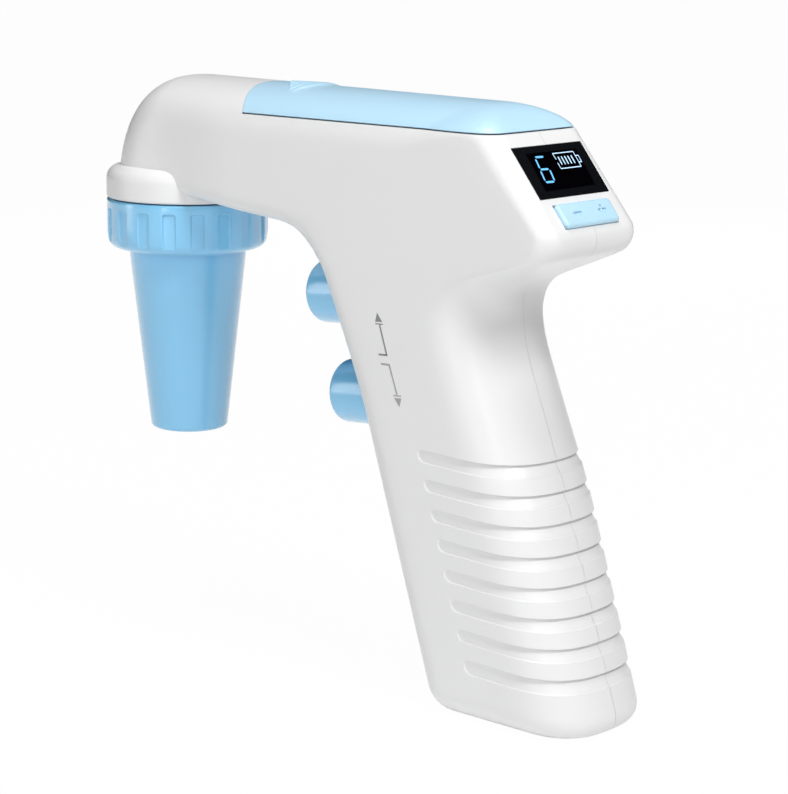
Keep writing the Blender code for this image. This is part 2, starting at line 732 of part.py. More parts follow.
def build_housing():
    blank = housing_mesh("housing_blank", 0.0, True, (6, 9, 6))
    hollow_mesh = housing_mesh("housing_hollow", WALL, False, (4, 5, 4))
    hollow = add_object("housing_hollow", hollow_mesh, None, nose)
    skirt_profile = [(0, SKIRT_HEIGHT), (NOSE_WIDTH / 2 - 0.4, SKIRT_HEIGHT)]
    skirt_profile += quarter(SKIRT_R - SHOULDER, SKIRT_HEIGHT - SHOULDER, SHOULDER, 90, 0, 4)
    skirt = turned("skirt", skirt_profile + [(SKIRT_R, 0), (0, 0)], None, nose, 52)
    bore_r = SPIGOT_R + 0.4
    seat_r = FLANGE_R + FIT
    seat_top = FLANGE_Z + FLANGE_THICK + FIT
    throat = SPIGOT_R - SPIGOT_WALL
    nose_bore = turned("nose_bore", [(0, 12), (throat, 12), (throat, seat_top), (seat_r, seat_top),
                                     (seat_r, FLANGE_Z - FIT), (bore_r, FLANGE_Z - FIT), (bore_r, -1),
                                     (0, -1)], None, nose, 40)
    cover_room = plan_solid("cover_room", bow_outline(0.0), COVER_Z, CREST_Z + 6, None, nose)
    window_room = block("window_room", (WINDOW_TOP, -WINDOW_WIDTH / 2, -WINDOW_THICK - FIT),
                        (WINDOW_TOP + WINDOW_LENGTH, WINDOW_WIDTH / 2, 6), None, facet)
    glass_room = block("glass_room", (WINDOW_TOP + 1.2, -WINDOW_WIDTH / 2 + 1.5, -8),
                       (WINDOW_TOP + WINDOW_LENGTH - 1.2, WINDOW_WIDTH / 2 - 1.5, 1), None, facet)
    key_room = block("key_room", (KEY_TOP - FIT, -KEY_WIDTH / 2 - FIT, -4),
                     (KEY_TOP + KEY_LENGTH + FIT, KEY_WIDTH / 2 + FIT, 6), None, facet)
    trigger_rooms = [rod(f"{frame.name}_hole", TRIGGER_R + FIT, -4, TRIGGER_LENGTH + 3, None, frame,
                         "X", 32) for frame in (upper_valve, lower_valve)]
    jack_half = JACK_SIZE / 2 + FIT
    jack_room = block("jack_room", (JACK_X - jack_half, -jack_half, GRIP_BOTTOM_Z - 2),
                      (JACK_X + jack_half, jack_half, GRIP_BOTTOM_Z + WALL + 1), None, nose)
    key_middle = KEY_TOP + KEY_LENGTH / 2
    key_reach = KEY_LENGTH / 2 + FIT
    pin_spot = (key_middle, 0, -PIN_DEPTH)
    pin_bosses = [rod(f"pin_boss_{label}", PIN_BOSS_R, *ends, None, facet, "X", 16, place=pin_spot)
                  for label, ends in (("upper", (-key_reach - PIN_BOSS, -key_reach)),
                                      ("lower", (key_reach, key_reach + PIN_BOSS)))]
    pin_bore = rod("pin_bore", PIN_R + FIT, -PIN_HALF - FIT, PIN_HALF + FIT, None, facet, "X", 12,
                   place=pin_spot)
    halves = []
    for name, side in (("housing_left", -1), ("housing_right", 1)):
        half = add_object(name, blank.copy(), "housing_white", nose)
        combine(half, skirt, "UNION")
        combine(half, hollow)
        combine(half, nose_bore)
        for room in [cover_room, window_room, glass_room, key_room, jack_room, *trigger_rooms]:
            combine(half, room)
        for pin_boss in pin_bosses:
            combine(half, pin_boss, "UNION")
        combine(half, pin_bore)
        other = block(f"{name}_far_side", (-40, -SEAM_GAP / 2, -140) if side < 0 else (-40, -40, -140),
                      (160, 40, 60) if side < 0 else (160, SEAM_GAP / 2, 60), None, nose)
        combine(half, other)
        for number, (x, z) in enumerate(SCREW_PLACES, 1):
            ends = sorted((side * SEAM_GAP / 2, side * (HALF_WIDTH - WALL / 2)))
            boss = rod(f"{name}_boss_{number}", BOSS_R, *ends, None, nose, "Y", 16, place=(x, 0, z))
            combine(half, boss, "UNION")
        for rest in rests(name, side):
            combine(half, rest, "UNION")
        for number, (x, z) in enumerate(SCREW_PLACES, 1):
            deep = side * HALF_WIDTH + side * 3
            shank = sorted((0.0 - side, side * (SCREW_DEEP if side < 0 else HALF_WIDTH)))
            hole = rod(f"{name}_hole_{number}", SCREW_R + 0.3, *shank, None, nose, "Y", 12, place=(x, 0, z))
            combine(half, hole)
            if side > 0:
                well = rod(f"{name}_well_{number}", SCREW_HEAD_R + 0.4, HALF_WIDTH - WELL_DEPTH, deep,
                           None, nose, "Y", 16, place=(x, 0, z))
                combine(half, well)
        weld = half.modifiers.new("weld", "WELD")
        weld.merge_threshold = 0.000001
        soften(half, 30.0)
        halves.append(half)
    return halves



def rests(name, side):
    """Ribs that carry the tray, the valve block, the pump and the boards, fused to one half."""
    inner = side * (INNER_HALF + WALL / 2)
    made = []

    def rest(label, x_range, z_range, reach, frame=nose):
        ends = sorted((side * reach, inner))
        made.append(block(f"{name}_{label}", (x_range[0], ends[0], z_range[0]),
                          (x_range[1], ends[1], z_range[1]), None, frame))

    for number, share in enumerate((0.06, 0.49, 0.92)):
        x = CELL_FRONT_X + CELL_LENGTH * share
        rest(f"tray_rest_{number}", (x - 1, x + 1), (TUBE_Z + TUBE_R + 0.5, TRAY_DECK_Z - TRAY_DECK - FIT),
             TRAY_HALF + FIT)
    if side > 0:
        rest("valve_rest_front", (35.5, 37.5), (-26, 4), VALVE_WIDTH / 2 + FIT, upper_valve)
        rest("valve_rest_back", (46.5, 48.5), (-26, 4), VALVE_WIDTH / 2 + FIT, upper_valve)
    else:
        left, right, low, high = MAIN_BOARD
        for number, (x, z) in enumerate(((left, high), (right, high), (left, low), (right, low))):
            inward = (3 if x == left else -3, -3 if z == high else 3)
            rest(f"board_rest_{number}", sorted((x, x + inward[0])), sorted((z, z + inward[1])),
                 MAIN_BOARD_Y + FIT)
    for label, x in (("upper", 1.5), ("lower", KEY_TOP - 1.6)):
        rest(f"display_rest_{label}", (x, x + 1.0), (-BOARD_DEPTH + FIT, -WALL + 0.4), 9.0, facet)
    rest("pump_rest", (-8, 8), (-2.5, -FIT), MOTOR_R + FIT, pump)
    rest("jack_rest", (JACK_X - 3, JACK_X + 3), (GRIP_BOTTOM_Z + 4, GRIP_BOTTOM_Z + 7),
         JACK_SIZE / 2 + FIT)
    return made


def build_battery():
    deck_half = INNER_HALF - 2.2

    def u_shape(half, level):
        bend = np.linspace(math.pi, 2 * math.pi, 15)
        bowl = [(half * math.cos(a), CELL_Z + half * math.sin(a)) for a in bend]
        return [(-half, level), *bowl, (half, level)]

    rim = TRAY_DECK_Z - TRAY_DECK
    outline = [(-deck_half, TRAY_DECK_Z), (-deck_half, rim), *u_shape(TRAY_HALF, rim - 0.3),
               (deck_half, rim), (deck_half, TRAY_DECK_Z)]
    tray = plan_solid("battery_tray", outline, TRAY_FRONT - TRAY_WALL, TRAY_BACK + TRAY_WALL,
                      "black_plastic", nose, "X")
    trough = plan_solid("tray_trough", u_shape(CELL_R + FIT, CREST_Z), TRAY_FRONT, TRAY_BACK, None, nose,
                        "X")
    combine(tray, trough)
    nub_r, nub = 2.7, 1.0
    back = CELL_FRONT_X + CELL_LENGTH
    turned("battery_cell", [(0, back), (nub_r, back), (nub_r, back - nub), (CELL_R - 0.7, back - nub),
                            (CELL_R, back - nub - 0.7), (CELL_R, CELL_FRONT_X + 0.7),
                            (CELL_R - 0.7, CELL_FRONT_X), (0, CELL_FRONT_X)],
           "cell_wrap", nose, 28, place=(0, 0, CELL_Z), turn=(0, 90, 0))
    block("battery_contact", (TRAY_BACK - FIT - 0.4, -3.5, CELL_Z - 4), (TRAY_BACK - FIT, 3.5, CELL_Z + 4),
          "steel", nose)
    wire_r, coil_r, turns = 0.35, 3.6, 2.0
    low, high = TRAY_FRONT + FIT + wire_r, CELL_FRONT_X - FIT - wire_r
    coil = [(low + (high - low) * t, coil_r * math.cos(2 * math.pi * turns * t),
             CELL_Z + coil_r * math.sin(2 * math.pi * turns * t)) for t in np.linspace(0, 1, 29)]
    wire("battery_spring", coil, wire_r, "steel", nose)
    cover_solid = housing_mesh("battery_cover", 0.0, False, (6, 9, 6))
    cover = add_object("battery_cover", cover_solid, "cover_blue", nose)
    keep = plan_solid("cover_keep", bow_outline(FIT), COVER_Z + FIT, CREST_Z + 6, None, nose)
    inside_mesh = housing_mesh("cover_inside", COVER_WALL, False, (4, 7, 5))
    inside = add_object("cover_inside", inside_mesh, None, nose)
    combine(cover, keep, "INTERSECT")
    combine(cover, inside)

    def catch_shape(work):
        bmesh.ops.create_uvsphere(work, u_segments=24, v_segments=10, radius=MM)
        bmesh.ops.scale(work, vec=(CATCH_LENGTH, CATCH_WIDTH / 2, CATCH_HEIGHT), verts=work.verts)
        everything = list(work.verts) + list(work.edges) + list(work.faces)
        bmesh.ops.bisect_plane(work, geom=everything, plane_co=(0, 0, 0), plane_no=(-1, 0, 0),
                               clear_outer=True)
        bmesh.ops.holes_fill(work, edges=work.edges)
        everything = list(work.verts) + list(work.edges) + list(work.faces)
        bmesh.ops.bisect_plane(work, geom=everything, plane_co=(0, 0, 0), plane_no=(0, 0, -1),
                               clear_outer=True)
        bmesh.ops.holes_fill(work, edges=work.edges)

    catch = add_object("cover_catch", mesh_from("cover_catch", catch_shape), None, nose,
                       (CATCH_X, 0, CREST_Z - CATCH_SINK))
    combine(cover, catch, "UNION")
    soften(cover, 30.0)


def build_nose():
    shoulder = -(COLLAR_DROP - 0.4)
    cone_top = -(COLLAR_DROP + 1.4)
    inner_top = CONE_TOP_R - CONE_WALL
    inner_tip = CONE_TIP_R - CONE_WALL
    collar_in = SPIGOT_R + FIT
    round_r = 1.5
    profile = [(collar_in, -0.35), (SKIRT_R - 0.4, -0.35), (SKIRT_R, -0.75),
               (SKIRT_R - 0.15, -(COLLAR_DROP - COLLAR_LIP))]
    profile += quarter(SKIRT_R - 0.15 - COLLAR_LIP, -(COLLAR_DROP - COLLAR_LIP), COLLAR_LIP, 0, -90, 4)[1:]
    profile += [(CONE_TOP_R + 0.5, -COLLAR_DROP), (CONE_TOP_R, cone_top)]
    profile += quarter(CONE_TIP_R - round_r, -CONE_LENGTH + round_r, round_r, 0, -90, 3)
    profile += [(inner_tip, -CONE_LENGTH + 0.05), (inner_top, cone_top), (inner_top, shoulder),
                (collar_in, shoulder)]
    cone = turned("nose_cone", profile, "nose_blue", nose, 36)

    def slots(work):
        for k in range(COLLAR_SLOTS):
            spin = Matrix.Rotation(2 * math.pi * (k + 0.5) / COLLAR_SLOTS, 4, "Z")
            found = bmesh.ops.create_cube(work, size=1.0)["verts"]
            bmesh.ops.scale(work, vec=(4 * MM, SLOT_WIDTH * MM, (COLLAR_DROP - 2.4) * MM), verts=found)
            shift = (SKIRT_R - SLOT_DEPTH + 2) * MM
            bmesh.ops.translate(work, vec=(shift, 0, -(COLLAR_DROP + 2.4) / 2 * MM), verts=found)
            bmesh.ops.transform(work, matrix=spin, verts=found)

    slot_cutter = add_object("collar_slots", mesh_from("collar_slots", slots), None, nose)
    combine(cone, slot_cutter)
    ledge_z = -SPIGOT_DROP + 1.8
    bore = SPIGOT_R - SPIGOT_WALL
    turned("nose_spigot", [(bore, FLANGE_Z + FLANGE_THICK), (FLANGE_R, FLANGE_Z + FLANGE_THICK),
                           (FLANGE_R, FLANGE_Z), (SPIGOT_R, FLANGE_Z), (SPIGOT_R, -SPIGOT_DROP),
                           (8.0, -SPIGOT_DROP), (8.0, ledge_z), (bore, ledge_z)],
           "grey_plastic", nose, 32)
    low = ledge_z + FIT
    high = low + FILTER_THICK
    turned("hydrophobic_filter", [(0, FILTER_TOP + SPOUT_LENGTH), (SPOUT_R, FILTER_TOP + SPOUT_LENGTH),
                                  (SPOUT_R, FILTER_TOP), (6, high),
                                  (FILTER_R, high - 0.8),
                                  (FILTER_R, low), (5, low), (3.2, low - 0.8), (3.2, low - 5),
                                  (0, low - 5)],
           "silicone", nose, 24)
    top = -SPIGOT_DROP - FIT
    foot = -CONE_LENGTH + HOLDER_RECESS

    def cone_inside(z):
        return inner_top + (inner_tip - inner_top) * (cone_top - z) / (cone_top + CONE_LENGTH)

    neck = cone_top - 0.4
    turned("pipette_holder", [(TOP_BORE_R, top), (SPIGOT_R - 0.4, top), (SPIGOT_R - 0.4, shoulder + FIT),
                              (inner_top - FIT - 0.1, shoulder + FIT), (cone_inside(neck) - FIT, neck),
                              (cone_inside(foot) - FIT, foot), (MOUTH_BORE_R + 0.8, foot),
                              (MOUTH_BORE_R, foot + 1.0), (MOUTH_BORE_R, foot + 18),
                              (MIDDLE_BORE_R, foot + 20), (MIDDLE_BORE_R, foot + 34),
                              (TOP_BORE_R, foot + 35.5)], "silicone", nose, 26)


def build_display():
    middle = WINDOW_TOP + WINDOW_LENGTH / 2
    clear = 0.2
    block("display_window", (WINDOW_TOP + clear, -WINDOW_WIDTH / 2 + clear, -WINDOW_THICK),
          (WINDOW_TOP + WINDOW_LENGTH - clear, WINDOW_WIDTH / 2 - clear, 0.0), "window_black", facet)
    glass_top = -WALL - 2 * FIT
    block("lcd_module", (middle - 5.6, -10.3, glass_top - GLASS_THICK), (middle + 5.6, 10.3, glass_top),
          "glass_grey", facet)
    board_half = WINDOW_WIDTH / 2
    block("display_board", (1.5, -board_half, -BOARD_DEPTH - BOARD_THICK),
          (KEY_TOP + KEY_LENGTH + 0.8, board_half, -BOARD_DEPTH), "board_green", facet)
    key_middle = KEY_TOP + KEY_LENGTH / 2
    for name, side in (("speed_down_switch", -1), ("speed_up_switch", 1)):
        reach = SWITCH_SIZE / 2
        switch = block(name, (key_middle - reach, side * SWITCH_OFFSET - reach, -BOARD_DEPTH + FIT),
                       (key_middle + reach, side * SWITCH_OFFSET + reach, -3.1), "black_plastic", facet)
        knob = rod(f"{name}_knob", 0.9, -3.4, -2.15, None, facet, "Z", 16,
                   place=(key_middle, side * SWITCH_OFFSET, 0))
        combine(switch, knob, "UNION")
    pivot = empty("rocker_pivot", key_middle, -PIN_DEPTH, 0.0, facet)
    top, underside = PIN_DEPTH + KEY_PROUD, PIN_DEPTH - 0.6
    mark = top - 0.35
    rocker = block("speed_rocker", (-KEY_LENGTH / 2, -KEY_WIDTH / 2, underside),
                   (KEY_LENGTH / 2, KEY_WIDTH / 2, top), "cover_blue", pivot, KEY_BEVEL)
    lug = block("rocker_lug", (-1.5, -1.6, -1.3), (1.5, 1.6, underside + 0.6), None, pivot)
    feet = [block(f"rocker_foot_{label}", (-1, side * SWITCH_OFFSET - 1, underside - 1.0),
                  (1, side * SWITCH_OFFSET + 1, underside + 0.6), None, pivot)
            for label, side in (("down", -1), ("up", 1))]
    bore = rod("rocker_bore", PIN_R + FIT, -6, 6, None, pivot, "X", 12)
    minus = block("key_minus", (-0.3, -5.9, mark), (0.3, -3.3, top + 2), None, pivot)
    plus = block("key_plus", (-0.3, 3.3, mark), (0.3, 5.9, top + 2), None, pivot)
    bar = block("key_plus_bar", (-1.3, 4.3, mark), (1.3, 4.9, top + 2), None, pivot)
    for piece in (lug, *feet):
        combine(rocker, piece, "UNION")
    for piece in (bore, minus, plus, bar):
        combine(rocker, piece)
    rod("rocker_pin", PIN_R, -PIN_HALF, PIN_HALF, "steel", pivot, "X", 16)


def build_triggers():
    for label, frame in (("aspirate", upper_valve), ("dispense", lower_valve)):
        bore_r, bore_depth = SPRING_R + SPRING_WIRE + 0.4, 10.0
        end = TRIGGER_LENGTH + TRIGGER_FLANGE
        profile = [(bore_r, end), (TRIGGER_FLANGE_R, end), (TRIGGER_FLANGE_R, TRIGGER_LENGTH),
                   (TRIGGER_R, TRIGGER_LENGTH)]
        profile += quarter(TRIGGER_R - TRIGGER_EDGE, TRIGGER_EDGE, TRIGGER_EDGE, 0, -90, 3)
        profile = [(0, bore_depth), (bore_r, bore_depth)] + profile + [(0, 0)]
        turned(f"{label}_trigger", profile, "nose_blue", frame, 28, turn=(0, 90, 0))
        bore_end = VALVE_BACK - 2 - (lower_offset()[0] if label == "dispense" else 0)
        stem_end = bore_end - TRIGGER_STROKE - 1
        rod(f"{label}_stem", STEM_R, bore_depth + FIT, stem_end, "steel", frame, "X", 16)
        seal_r = STEM_R + SEAL_WIRE + 0.2
        ring = [(VALVE_FRONT + 5.0, seal_r * math.cos(a), seal_r * math.sin(a))
                for a in np.linspace(0, 2 * math.pi, 14, endpoint=False)]
        wire(f"{label}_seal", ring, SEAL_WIRE, "seal_rubber", frame, closed=True)
        low = bore_depth + FIT + SPRING_WIRE
        high = VALVE_FRONT - FIT - SPRING_WIRE
        count = SPRING_TURNS * 8 + 1
        coil = [(low + (high - low) * t, SPRING_R * math.cos(2 * math.pi * SPRING_TURNS * t),
                 SPRING_R * math.sin(2 * math.pi * SPRING_TURNS * t)) for t in np.linspace(0, 1, count)]
        wire(f"{label}_spring", coil, SPRING_WIRE, "steel", frame)
    build_valve_block()


def lower_offset():
    """The lower trigger's face, seen in the upper trigger's frame."""
    rise = math.radians(TRIGGER_RISE)
    dx, dz = LOWER_FACE_X - UPPER_FACE_X, LOWER_FACE_Z - UPPER_FACE_Z
    return dx * math.cos(rise) + dz * math.sin(rise), dz * math.cos(rise) - dx * math.sin(rise)


def build_valve_block():
    shift, drop = lower_offset()
    front = VALVE_FRONT + shift
    block_item = block("valve_block", (front, -VALVE_WIDTH / 2, drop - VALVE_MARGIN),
                       (VALVE_BACK, VALVE_WIDTH / 2, VALVE_MARGIN), "grey_plastic", upper_valve)
    nose_boss = rod("valve_nose", 5.6, VALVE_FRONT, front + 1, None, upper_valve, "X", 24)
    combine(block_item, nose_boss, "UNION")
    bore_r = STEM_R + 2 * SEAL_WIRE + 0.4
    for label, start, z in (("upper", VALVE_FRONT, 0.0), ("lower", front, drop)):
        bore = rod(f"valve_bore_{label}", bore_r, start - 2, VALVE_BACK - 2, None, upper_valve, "X", 20,
                   place=(0, 0, z))
        combine(block_item, bore)
    for label, x, way in SPOUTS:
        face = VALVE_MARGIN if way > 0 else drop - VALVE_MARGIN
        ends = sorted((face - way, face + way * SPOUT_LENGTH))
        spout = rod(f"valve_spout_{label}", SPOUT_R, *ends, None, upper_valve, "Z", 12, place=(x, 0, 0))
        combine(block_item, spout, "UNION")


def build_tubes():
    _, drop = lower_offset()
    low, high = FIT, SPOUT_LENGTH

    def spot(frame, x, z):
        return nose.matrix_world.inverted() @ frame.matrix_world @ (Vector((x, 0, z)) * MM) / MM

    bpy.context.view_layer.update()
    nose_spout, suction_spout, pressure_spout = [x for _, x, _ in SPOUTS]
    above = [spot(upper_valve, nose_spout, VALVE_MARGIN + d) for d in (high + 2.2, high, high / 2, low)]
    way = [(2, 2, 8), (12, 8, TUBE_Z + 1.5), (CELL_FRONT_X - 10, TUBE_SIDE, TUBE_Z),
           (REAR_X - 53.4, TUBE_SIDE, TUBE_Z), (REAR_X - 35.4, TUBE_SIDE, TUBE_Z - 0.5),
           (REAR_X - 26.4, TUBE_SIDE - 1, 3.0), (REAR_X - 20.4, TUBE_SIDE - 3, 0.5),
           (REAR_X - 14.4, 2.5, 0.8)]
    tube("nose_tube", [(0, 0, FILTER_TOP + d) for d in (low, high / 2, high)] + way + above, 34)
    for name, x, port in (("suction_tube", suction_spout, INLET_X),
                          ("pressure_tube", pressure_spout, OUTLET_X)):
        upper = [spot(upper_valve, x, drop - VALVE_MARGIN - d) for d in (low, high / 2, high)]
        lower = [spot(pump, port, PUMP_HEAD_HEIGHT + d) for d in (high, high / 2, low)]
        tube(name, upper + lower, 6)


def build_pump():
    half = PUMP_HEAD / 2
    head = block("pump_head", (-half, -half, 0), (half, half, PUMP_HEAD_HEIGHT), "black_plastic", pump, 1.5)
    for label, x in (("inlet", INLET_X), ("outlet", OUTLET_X)):
        port = rod(f"pump_{label}", SPOUT_R, PUMP_HEAD_HEIGHT - 1, PUMP_HEAD_HEIGHT + SPOUT_LENGTH, None,
                   pump, "Z", 12, place=(x, 0, 0))
        combine(head, port, "UNION")
    bearing_r, bearing_end = MOTOR_R * 0.4, -MOTOR_LENGTH - 1.5
    turned("pump_motor", [(0, -FIT), (MOTOR_R - 0.8, -FIT), (MOTOR_R, -FIT - 0.8),
                          (MOTOR_R, -MOTOR_LENGTH + 1), (MOTOR_R - 1, -MOTOR_LENGTH),
                          (bearing_r, -MOTOR_LENGTH), (bearing_r, bearing_end), (0, bearing_end)],
           "steel", pump, 32)


def build_electrics():
    left, right, low, high = MAIN_BOARD
    board = block("main_board", (left, -MAIN_BOARD_Y, low), (right, -MAIN_BOARD_Y + 1.6, high),
                  "board_green", nose)
    chip_x, chip_z = (left + right) / 2, (low + high) / 2 + 2
    chip = block("board_chip", (chip_x - 4, -MAIN_BOARD_Y + 1, chip_z - 4),
                 (chip_x + 4, -MAIN_BOARD_Y + 2.8, chip_z + 4), None, nose)
    combine(board, chip, "UNION")
    half = JACK_SIZE / 2
    jack = block("charge_socket", (JACK_X - half, -half, GRIP_BOTTOM_Z + FIT),
                 (JACK_X + half, half, GRIP_BOTTOM_Z + JACK_LENGTH), "black_plastic", nose, 0.6)
    deep, out = GRIP_BOTTOM_Z + JACK_LENGTH - 2, GRIP_BOTTOM_Z - 1
    mouth = turned("socket_mouth", [(JACK_PIN_R, deep), (JACK_BORE_R, deep), (JACK_BORE_R, out),
                                    (JACK_PIN_R, out)], None, nose, 24, place=(JACK_X, 0, 0))
    combine(jack, mouth)


def build_screws():
    head_y = HALF_WIDTH - WELL_DEPTH + FIT
    for number, (x, z) in enumerate(SCREW_PLACES, 1):
        turned(f"housing_screw_{number}", [(0, head_y + 1.8), (SCREW_HEAD_R - 0.5, head_y + 1.8),
                                           (SCREW_HEAD_R, head_y + 1.2), (SCREW_HEAD_R, head_y),
                                           (SCREW_R, head_y), (SCREW_R, head_y - SCREW_LENGTH + 1.5),
                                           (0, head_y - SCREW_LENGTH)],
               "steel", nose, 12, place=(x, 0, z), turn=(-90, 0, 0))


build_housing()
build_battery()
build_nose()
build_display()
build_triggers()
build_pump()
build_tubes()
build_electrics()
build_screws()
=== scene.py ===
import math

import bmesh
import bpy
import numpy as np
from mathutils import Matrix, Vector


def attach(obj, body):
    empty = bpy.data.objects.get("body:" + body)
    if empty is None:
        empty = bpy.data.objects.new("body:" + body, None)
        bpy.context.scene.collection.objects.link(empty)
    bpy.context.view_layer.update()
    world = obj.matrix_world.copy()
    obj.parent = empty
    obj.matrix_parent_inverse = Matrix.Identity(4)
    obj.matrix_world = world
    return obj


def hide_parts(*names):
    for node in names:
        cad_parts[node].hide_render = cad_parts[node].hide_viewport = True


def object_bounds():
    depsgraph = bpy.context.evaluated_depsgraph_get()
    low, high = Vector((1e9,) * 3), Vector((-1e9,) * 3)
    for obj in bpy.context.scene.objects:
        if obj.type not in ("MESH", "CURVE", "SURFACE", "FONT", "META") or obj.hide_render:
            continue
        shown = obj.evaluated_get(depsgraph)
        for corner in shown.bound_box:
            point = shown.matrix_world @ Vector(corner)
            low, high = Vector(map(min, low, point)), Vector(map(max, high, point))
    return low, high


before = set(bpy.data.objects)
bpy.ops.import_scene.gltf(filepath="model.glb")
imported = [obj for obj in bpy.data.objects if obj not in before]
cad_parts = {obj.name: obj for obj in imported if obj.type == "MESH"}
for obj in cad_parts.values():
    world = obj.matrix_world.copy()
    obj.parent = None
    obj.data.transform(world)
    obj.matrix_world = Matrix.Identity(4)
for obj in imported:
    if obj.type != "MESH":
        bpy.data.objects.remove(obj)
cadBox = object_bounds()
print("frame loaded:", len(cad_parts), "nodes")

mm = 0.001
collarRadius = 19.0
noseX = cadBox[0][0] / mm + collarRadius  # the collar sets the left end
footZ = -102.6  # the foot of the grip, below the collar's plane


def place(x, y, z):  # millimetres from the nose axis and the seam above the collar
    return Vector(((x + noseX) * mm, y * mm, (z - footZ) * mm))


def linear(hexColour):
    channels = [int(hexColour[k:k + 2], 16) / 255 for k in (1, 3, 5)]
    return tuple(c / 12.92 if c <= 0.04045 else ((c + 0.055) / 1.055) ** 2.4 for c in channels) + (1.0,)


def addNode(material, kind, settings=None, inputs=None):
    node = material.node_tree.nodes.new(kind)
    for key, value in (settings or {}).items():
        setattr(node, key, value)
    for key, value in (inputs or {}).items():
        if isinstance(value, bpy.types.NodeSocket):
            material.node_tree.links.new(value, node.inputs[key])
        else:
            node.inputs[key].default_value = value
    return node


def startFinish(name, colour, roughness, **sockets):
    made = bpy.data.materials.new(name)
    made.use_nodes = True
    shader = made.node_tree.nodes["Principled BSDF"]
    shader.inputs["Base Color"].default_value = linear(colour)
    shader.inputs["Roughness"].default_value = roughness
    for key, value in sockets.items():
        shader.inputs[key.replace("_", " ")].default_value = value
    return made, shader


def mouldedPlastic(name, colour, shade, roughness, grainMm, grainDepth, edgeMm=0.25, polish=0.0):
    # injection-moulded ABS: the tool's spark texture gives a soft, slightly sparkling satin
    made, shader = startFinish(name, colour, roughness, IOR=1.53, Coat_Weight=polish, Coat_Roughness=0.2,
                               Coat_IOR=1.6)
    spot = addNode(made, "ShaderNodeTexCoord").outputs["Object"]
    grain = addNode(made, "ShaderNodeTexNoise", None,
                    {"Vector": spot, "Scale": 1000 / grainMm, "Detail": 3.0, "Roughness": 0.6})
    cloud = addNode(made, "ShaderNodeTexNoise", None, {"Vector": spot, "Scale": 45.0, "Detail": 2.0})
    tint = addNode(made, "ShaderNodeMix", {"data_type": "RGBA"},
                   {"Factor": cloud.outputs["Fac"], 6: linear(colour), 7: linear(shade)})
    dull = addNode(made, "ShaderNodeMapRange", None,
                   {"Value": grain.outputs["Fac"], "To Min": roughness - 0.05, "To Max": roughness + 0.06})
    edge = addNode(made, "ShaderNodeBevel", {"samples": 4}, {"Radius": edgeMm * mm})
    bump = addNode(made, "ShaderNodeBump", None,
                   {"Height": grain.outputs["Fac"], "Strength": 0.35, "Distance": grainDepth * mm,
                    "Normal": edge.outputs["Normal"]})
    links = made.node_tree.links
    links.new(tint.outputs[2], shader.inputs["Base Color"])
    links.new(dull.outputs["Result"], shader.inputs["Roughness"])
    links.new(bump.outputs["Normal"], shader.inputs["Normal"])
    return made


def rubbed(made, colour, worn, low=0.52, high=0.60):
    # handling and the tumbling of loose parts in the factory bin pale the outer edges first
    bend = addNode(made, "ShaderNodeNewGeometry")
    share = addNode(made, "ShaderNodeMapRange", None,
                    {"Value": bend.outputs["Pointiness"], "From Min": low, "From Max": high, "To Max": 0.7})
    mix = addNode(made, "ShaderNodeMix", {"data_type": "RGBA"},
                  {"Factor": share.outputs["Result"], 7: linear(worn)})
    if isinstance(colour, str):
        mix.inputs[6].default_value = linear(colour)
    else:
        made.node_tree.links.new(colour, mix.inputs[6])
    return mix.outputs[2]


def finishFrom(made, shader, colour, pattern, spread, depthMm, roughness):
    # one pattern drives the gloss and the relief together, as it does on a real surface
    dull = addNode(made, "ShaderNodeMapRange", None,
                   {"Value": pattern, "To Min": roughness - spread, "To Max": roughness + spread})
    bump = addNode(made, "ShaderNodeBump", None,
                   {"Height": pattern, "Strength": 0.6, "Distance": depthMm * mm})
    for value, key in ((colour, "Base Color"), (dull.outputs["Result"], "Roughness"),
                       (bump.outputs["Normal"], "Normal")):
        made.node_tree.links.new(value, shader.inputs[key])
    return made


def thinFilm(name, colour, shade, roughness, fleckMm, depthMm, **sockets):
    # ink and lit segments behind acrylic: a skin of a few hundredths that lies faintly uneven
    made, shader = startFinish(name, colour, roughness, **sockets)
    spot = addNode(made, "ShaderNodeTexCoord").outputs["Object"]
    fleck = addNode(made, "ShaderNodeTexNoise", None,
                    {"Vector": spot, "Scale": 1000 / fleckMm, "Detail": 3.0})
    tint = addNode(made, "ShaderNodeMix", {"data_type": "RGBA"},
                   {"Factor": fleck.outputs["Fac"], 6: linear(colour), 7: linear(shade)})
    return finishFrom(made, shader, tint.outputs[2], fleck.outputs["Fac"], 0.03, depthMm, roughness)


def addPiece(name, mesh, finish, body, replaced=()):
    mesh.materials.clear()
    mesh.materials.append(finish)
    piece = bpy.data.objects.new(name, mesh)
    bpy.context.scene.collection.objects.link(piece)
    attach(piece, body)
    for node in replaced:
        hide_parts(node)
    return piece


def meshOf(name, build):
    mesh = bpy.data.meshes.new(name)
    work = bmesh.new()
    build(work)
    bmesh.ops.recalc_face_normals(work, faces=work.faces)
    work.to_mesh(mesh)
    work.free()
    return mesh


def skin(work, outlines, ends=True, looped=False):
    # joins a run of outlines of equal count into a skin, with flat ends or back to the first one
    rings = [[work.verts.new(spot) for spot in outline] for outline in outlines]
    for a, b in zip(rings, rings[1:] + rings[:1] if looped else rings[1:]):
        for k in range(len(a)):
            n = (k + 1) % len(a)
            work.faces.new((a[k], a[n], b[n], b[k]))
    if ends:
        work.faces.new(rings[0])
        work.faces.new(rings[-1])
    return rings


def smooth(mesh, angle=35):
    mesh.shade_smooth()
    mesh.set_sharp_from_angle(angle=math.radians(angle))
    return mesh


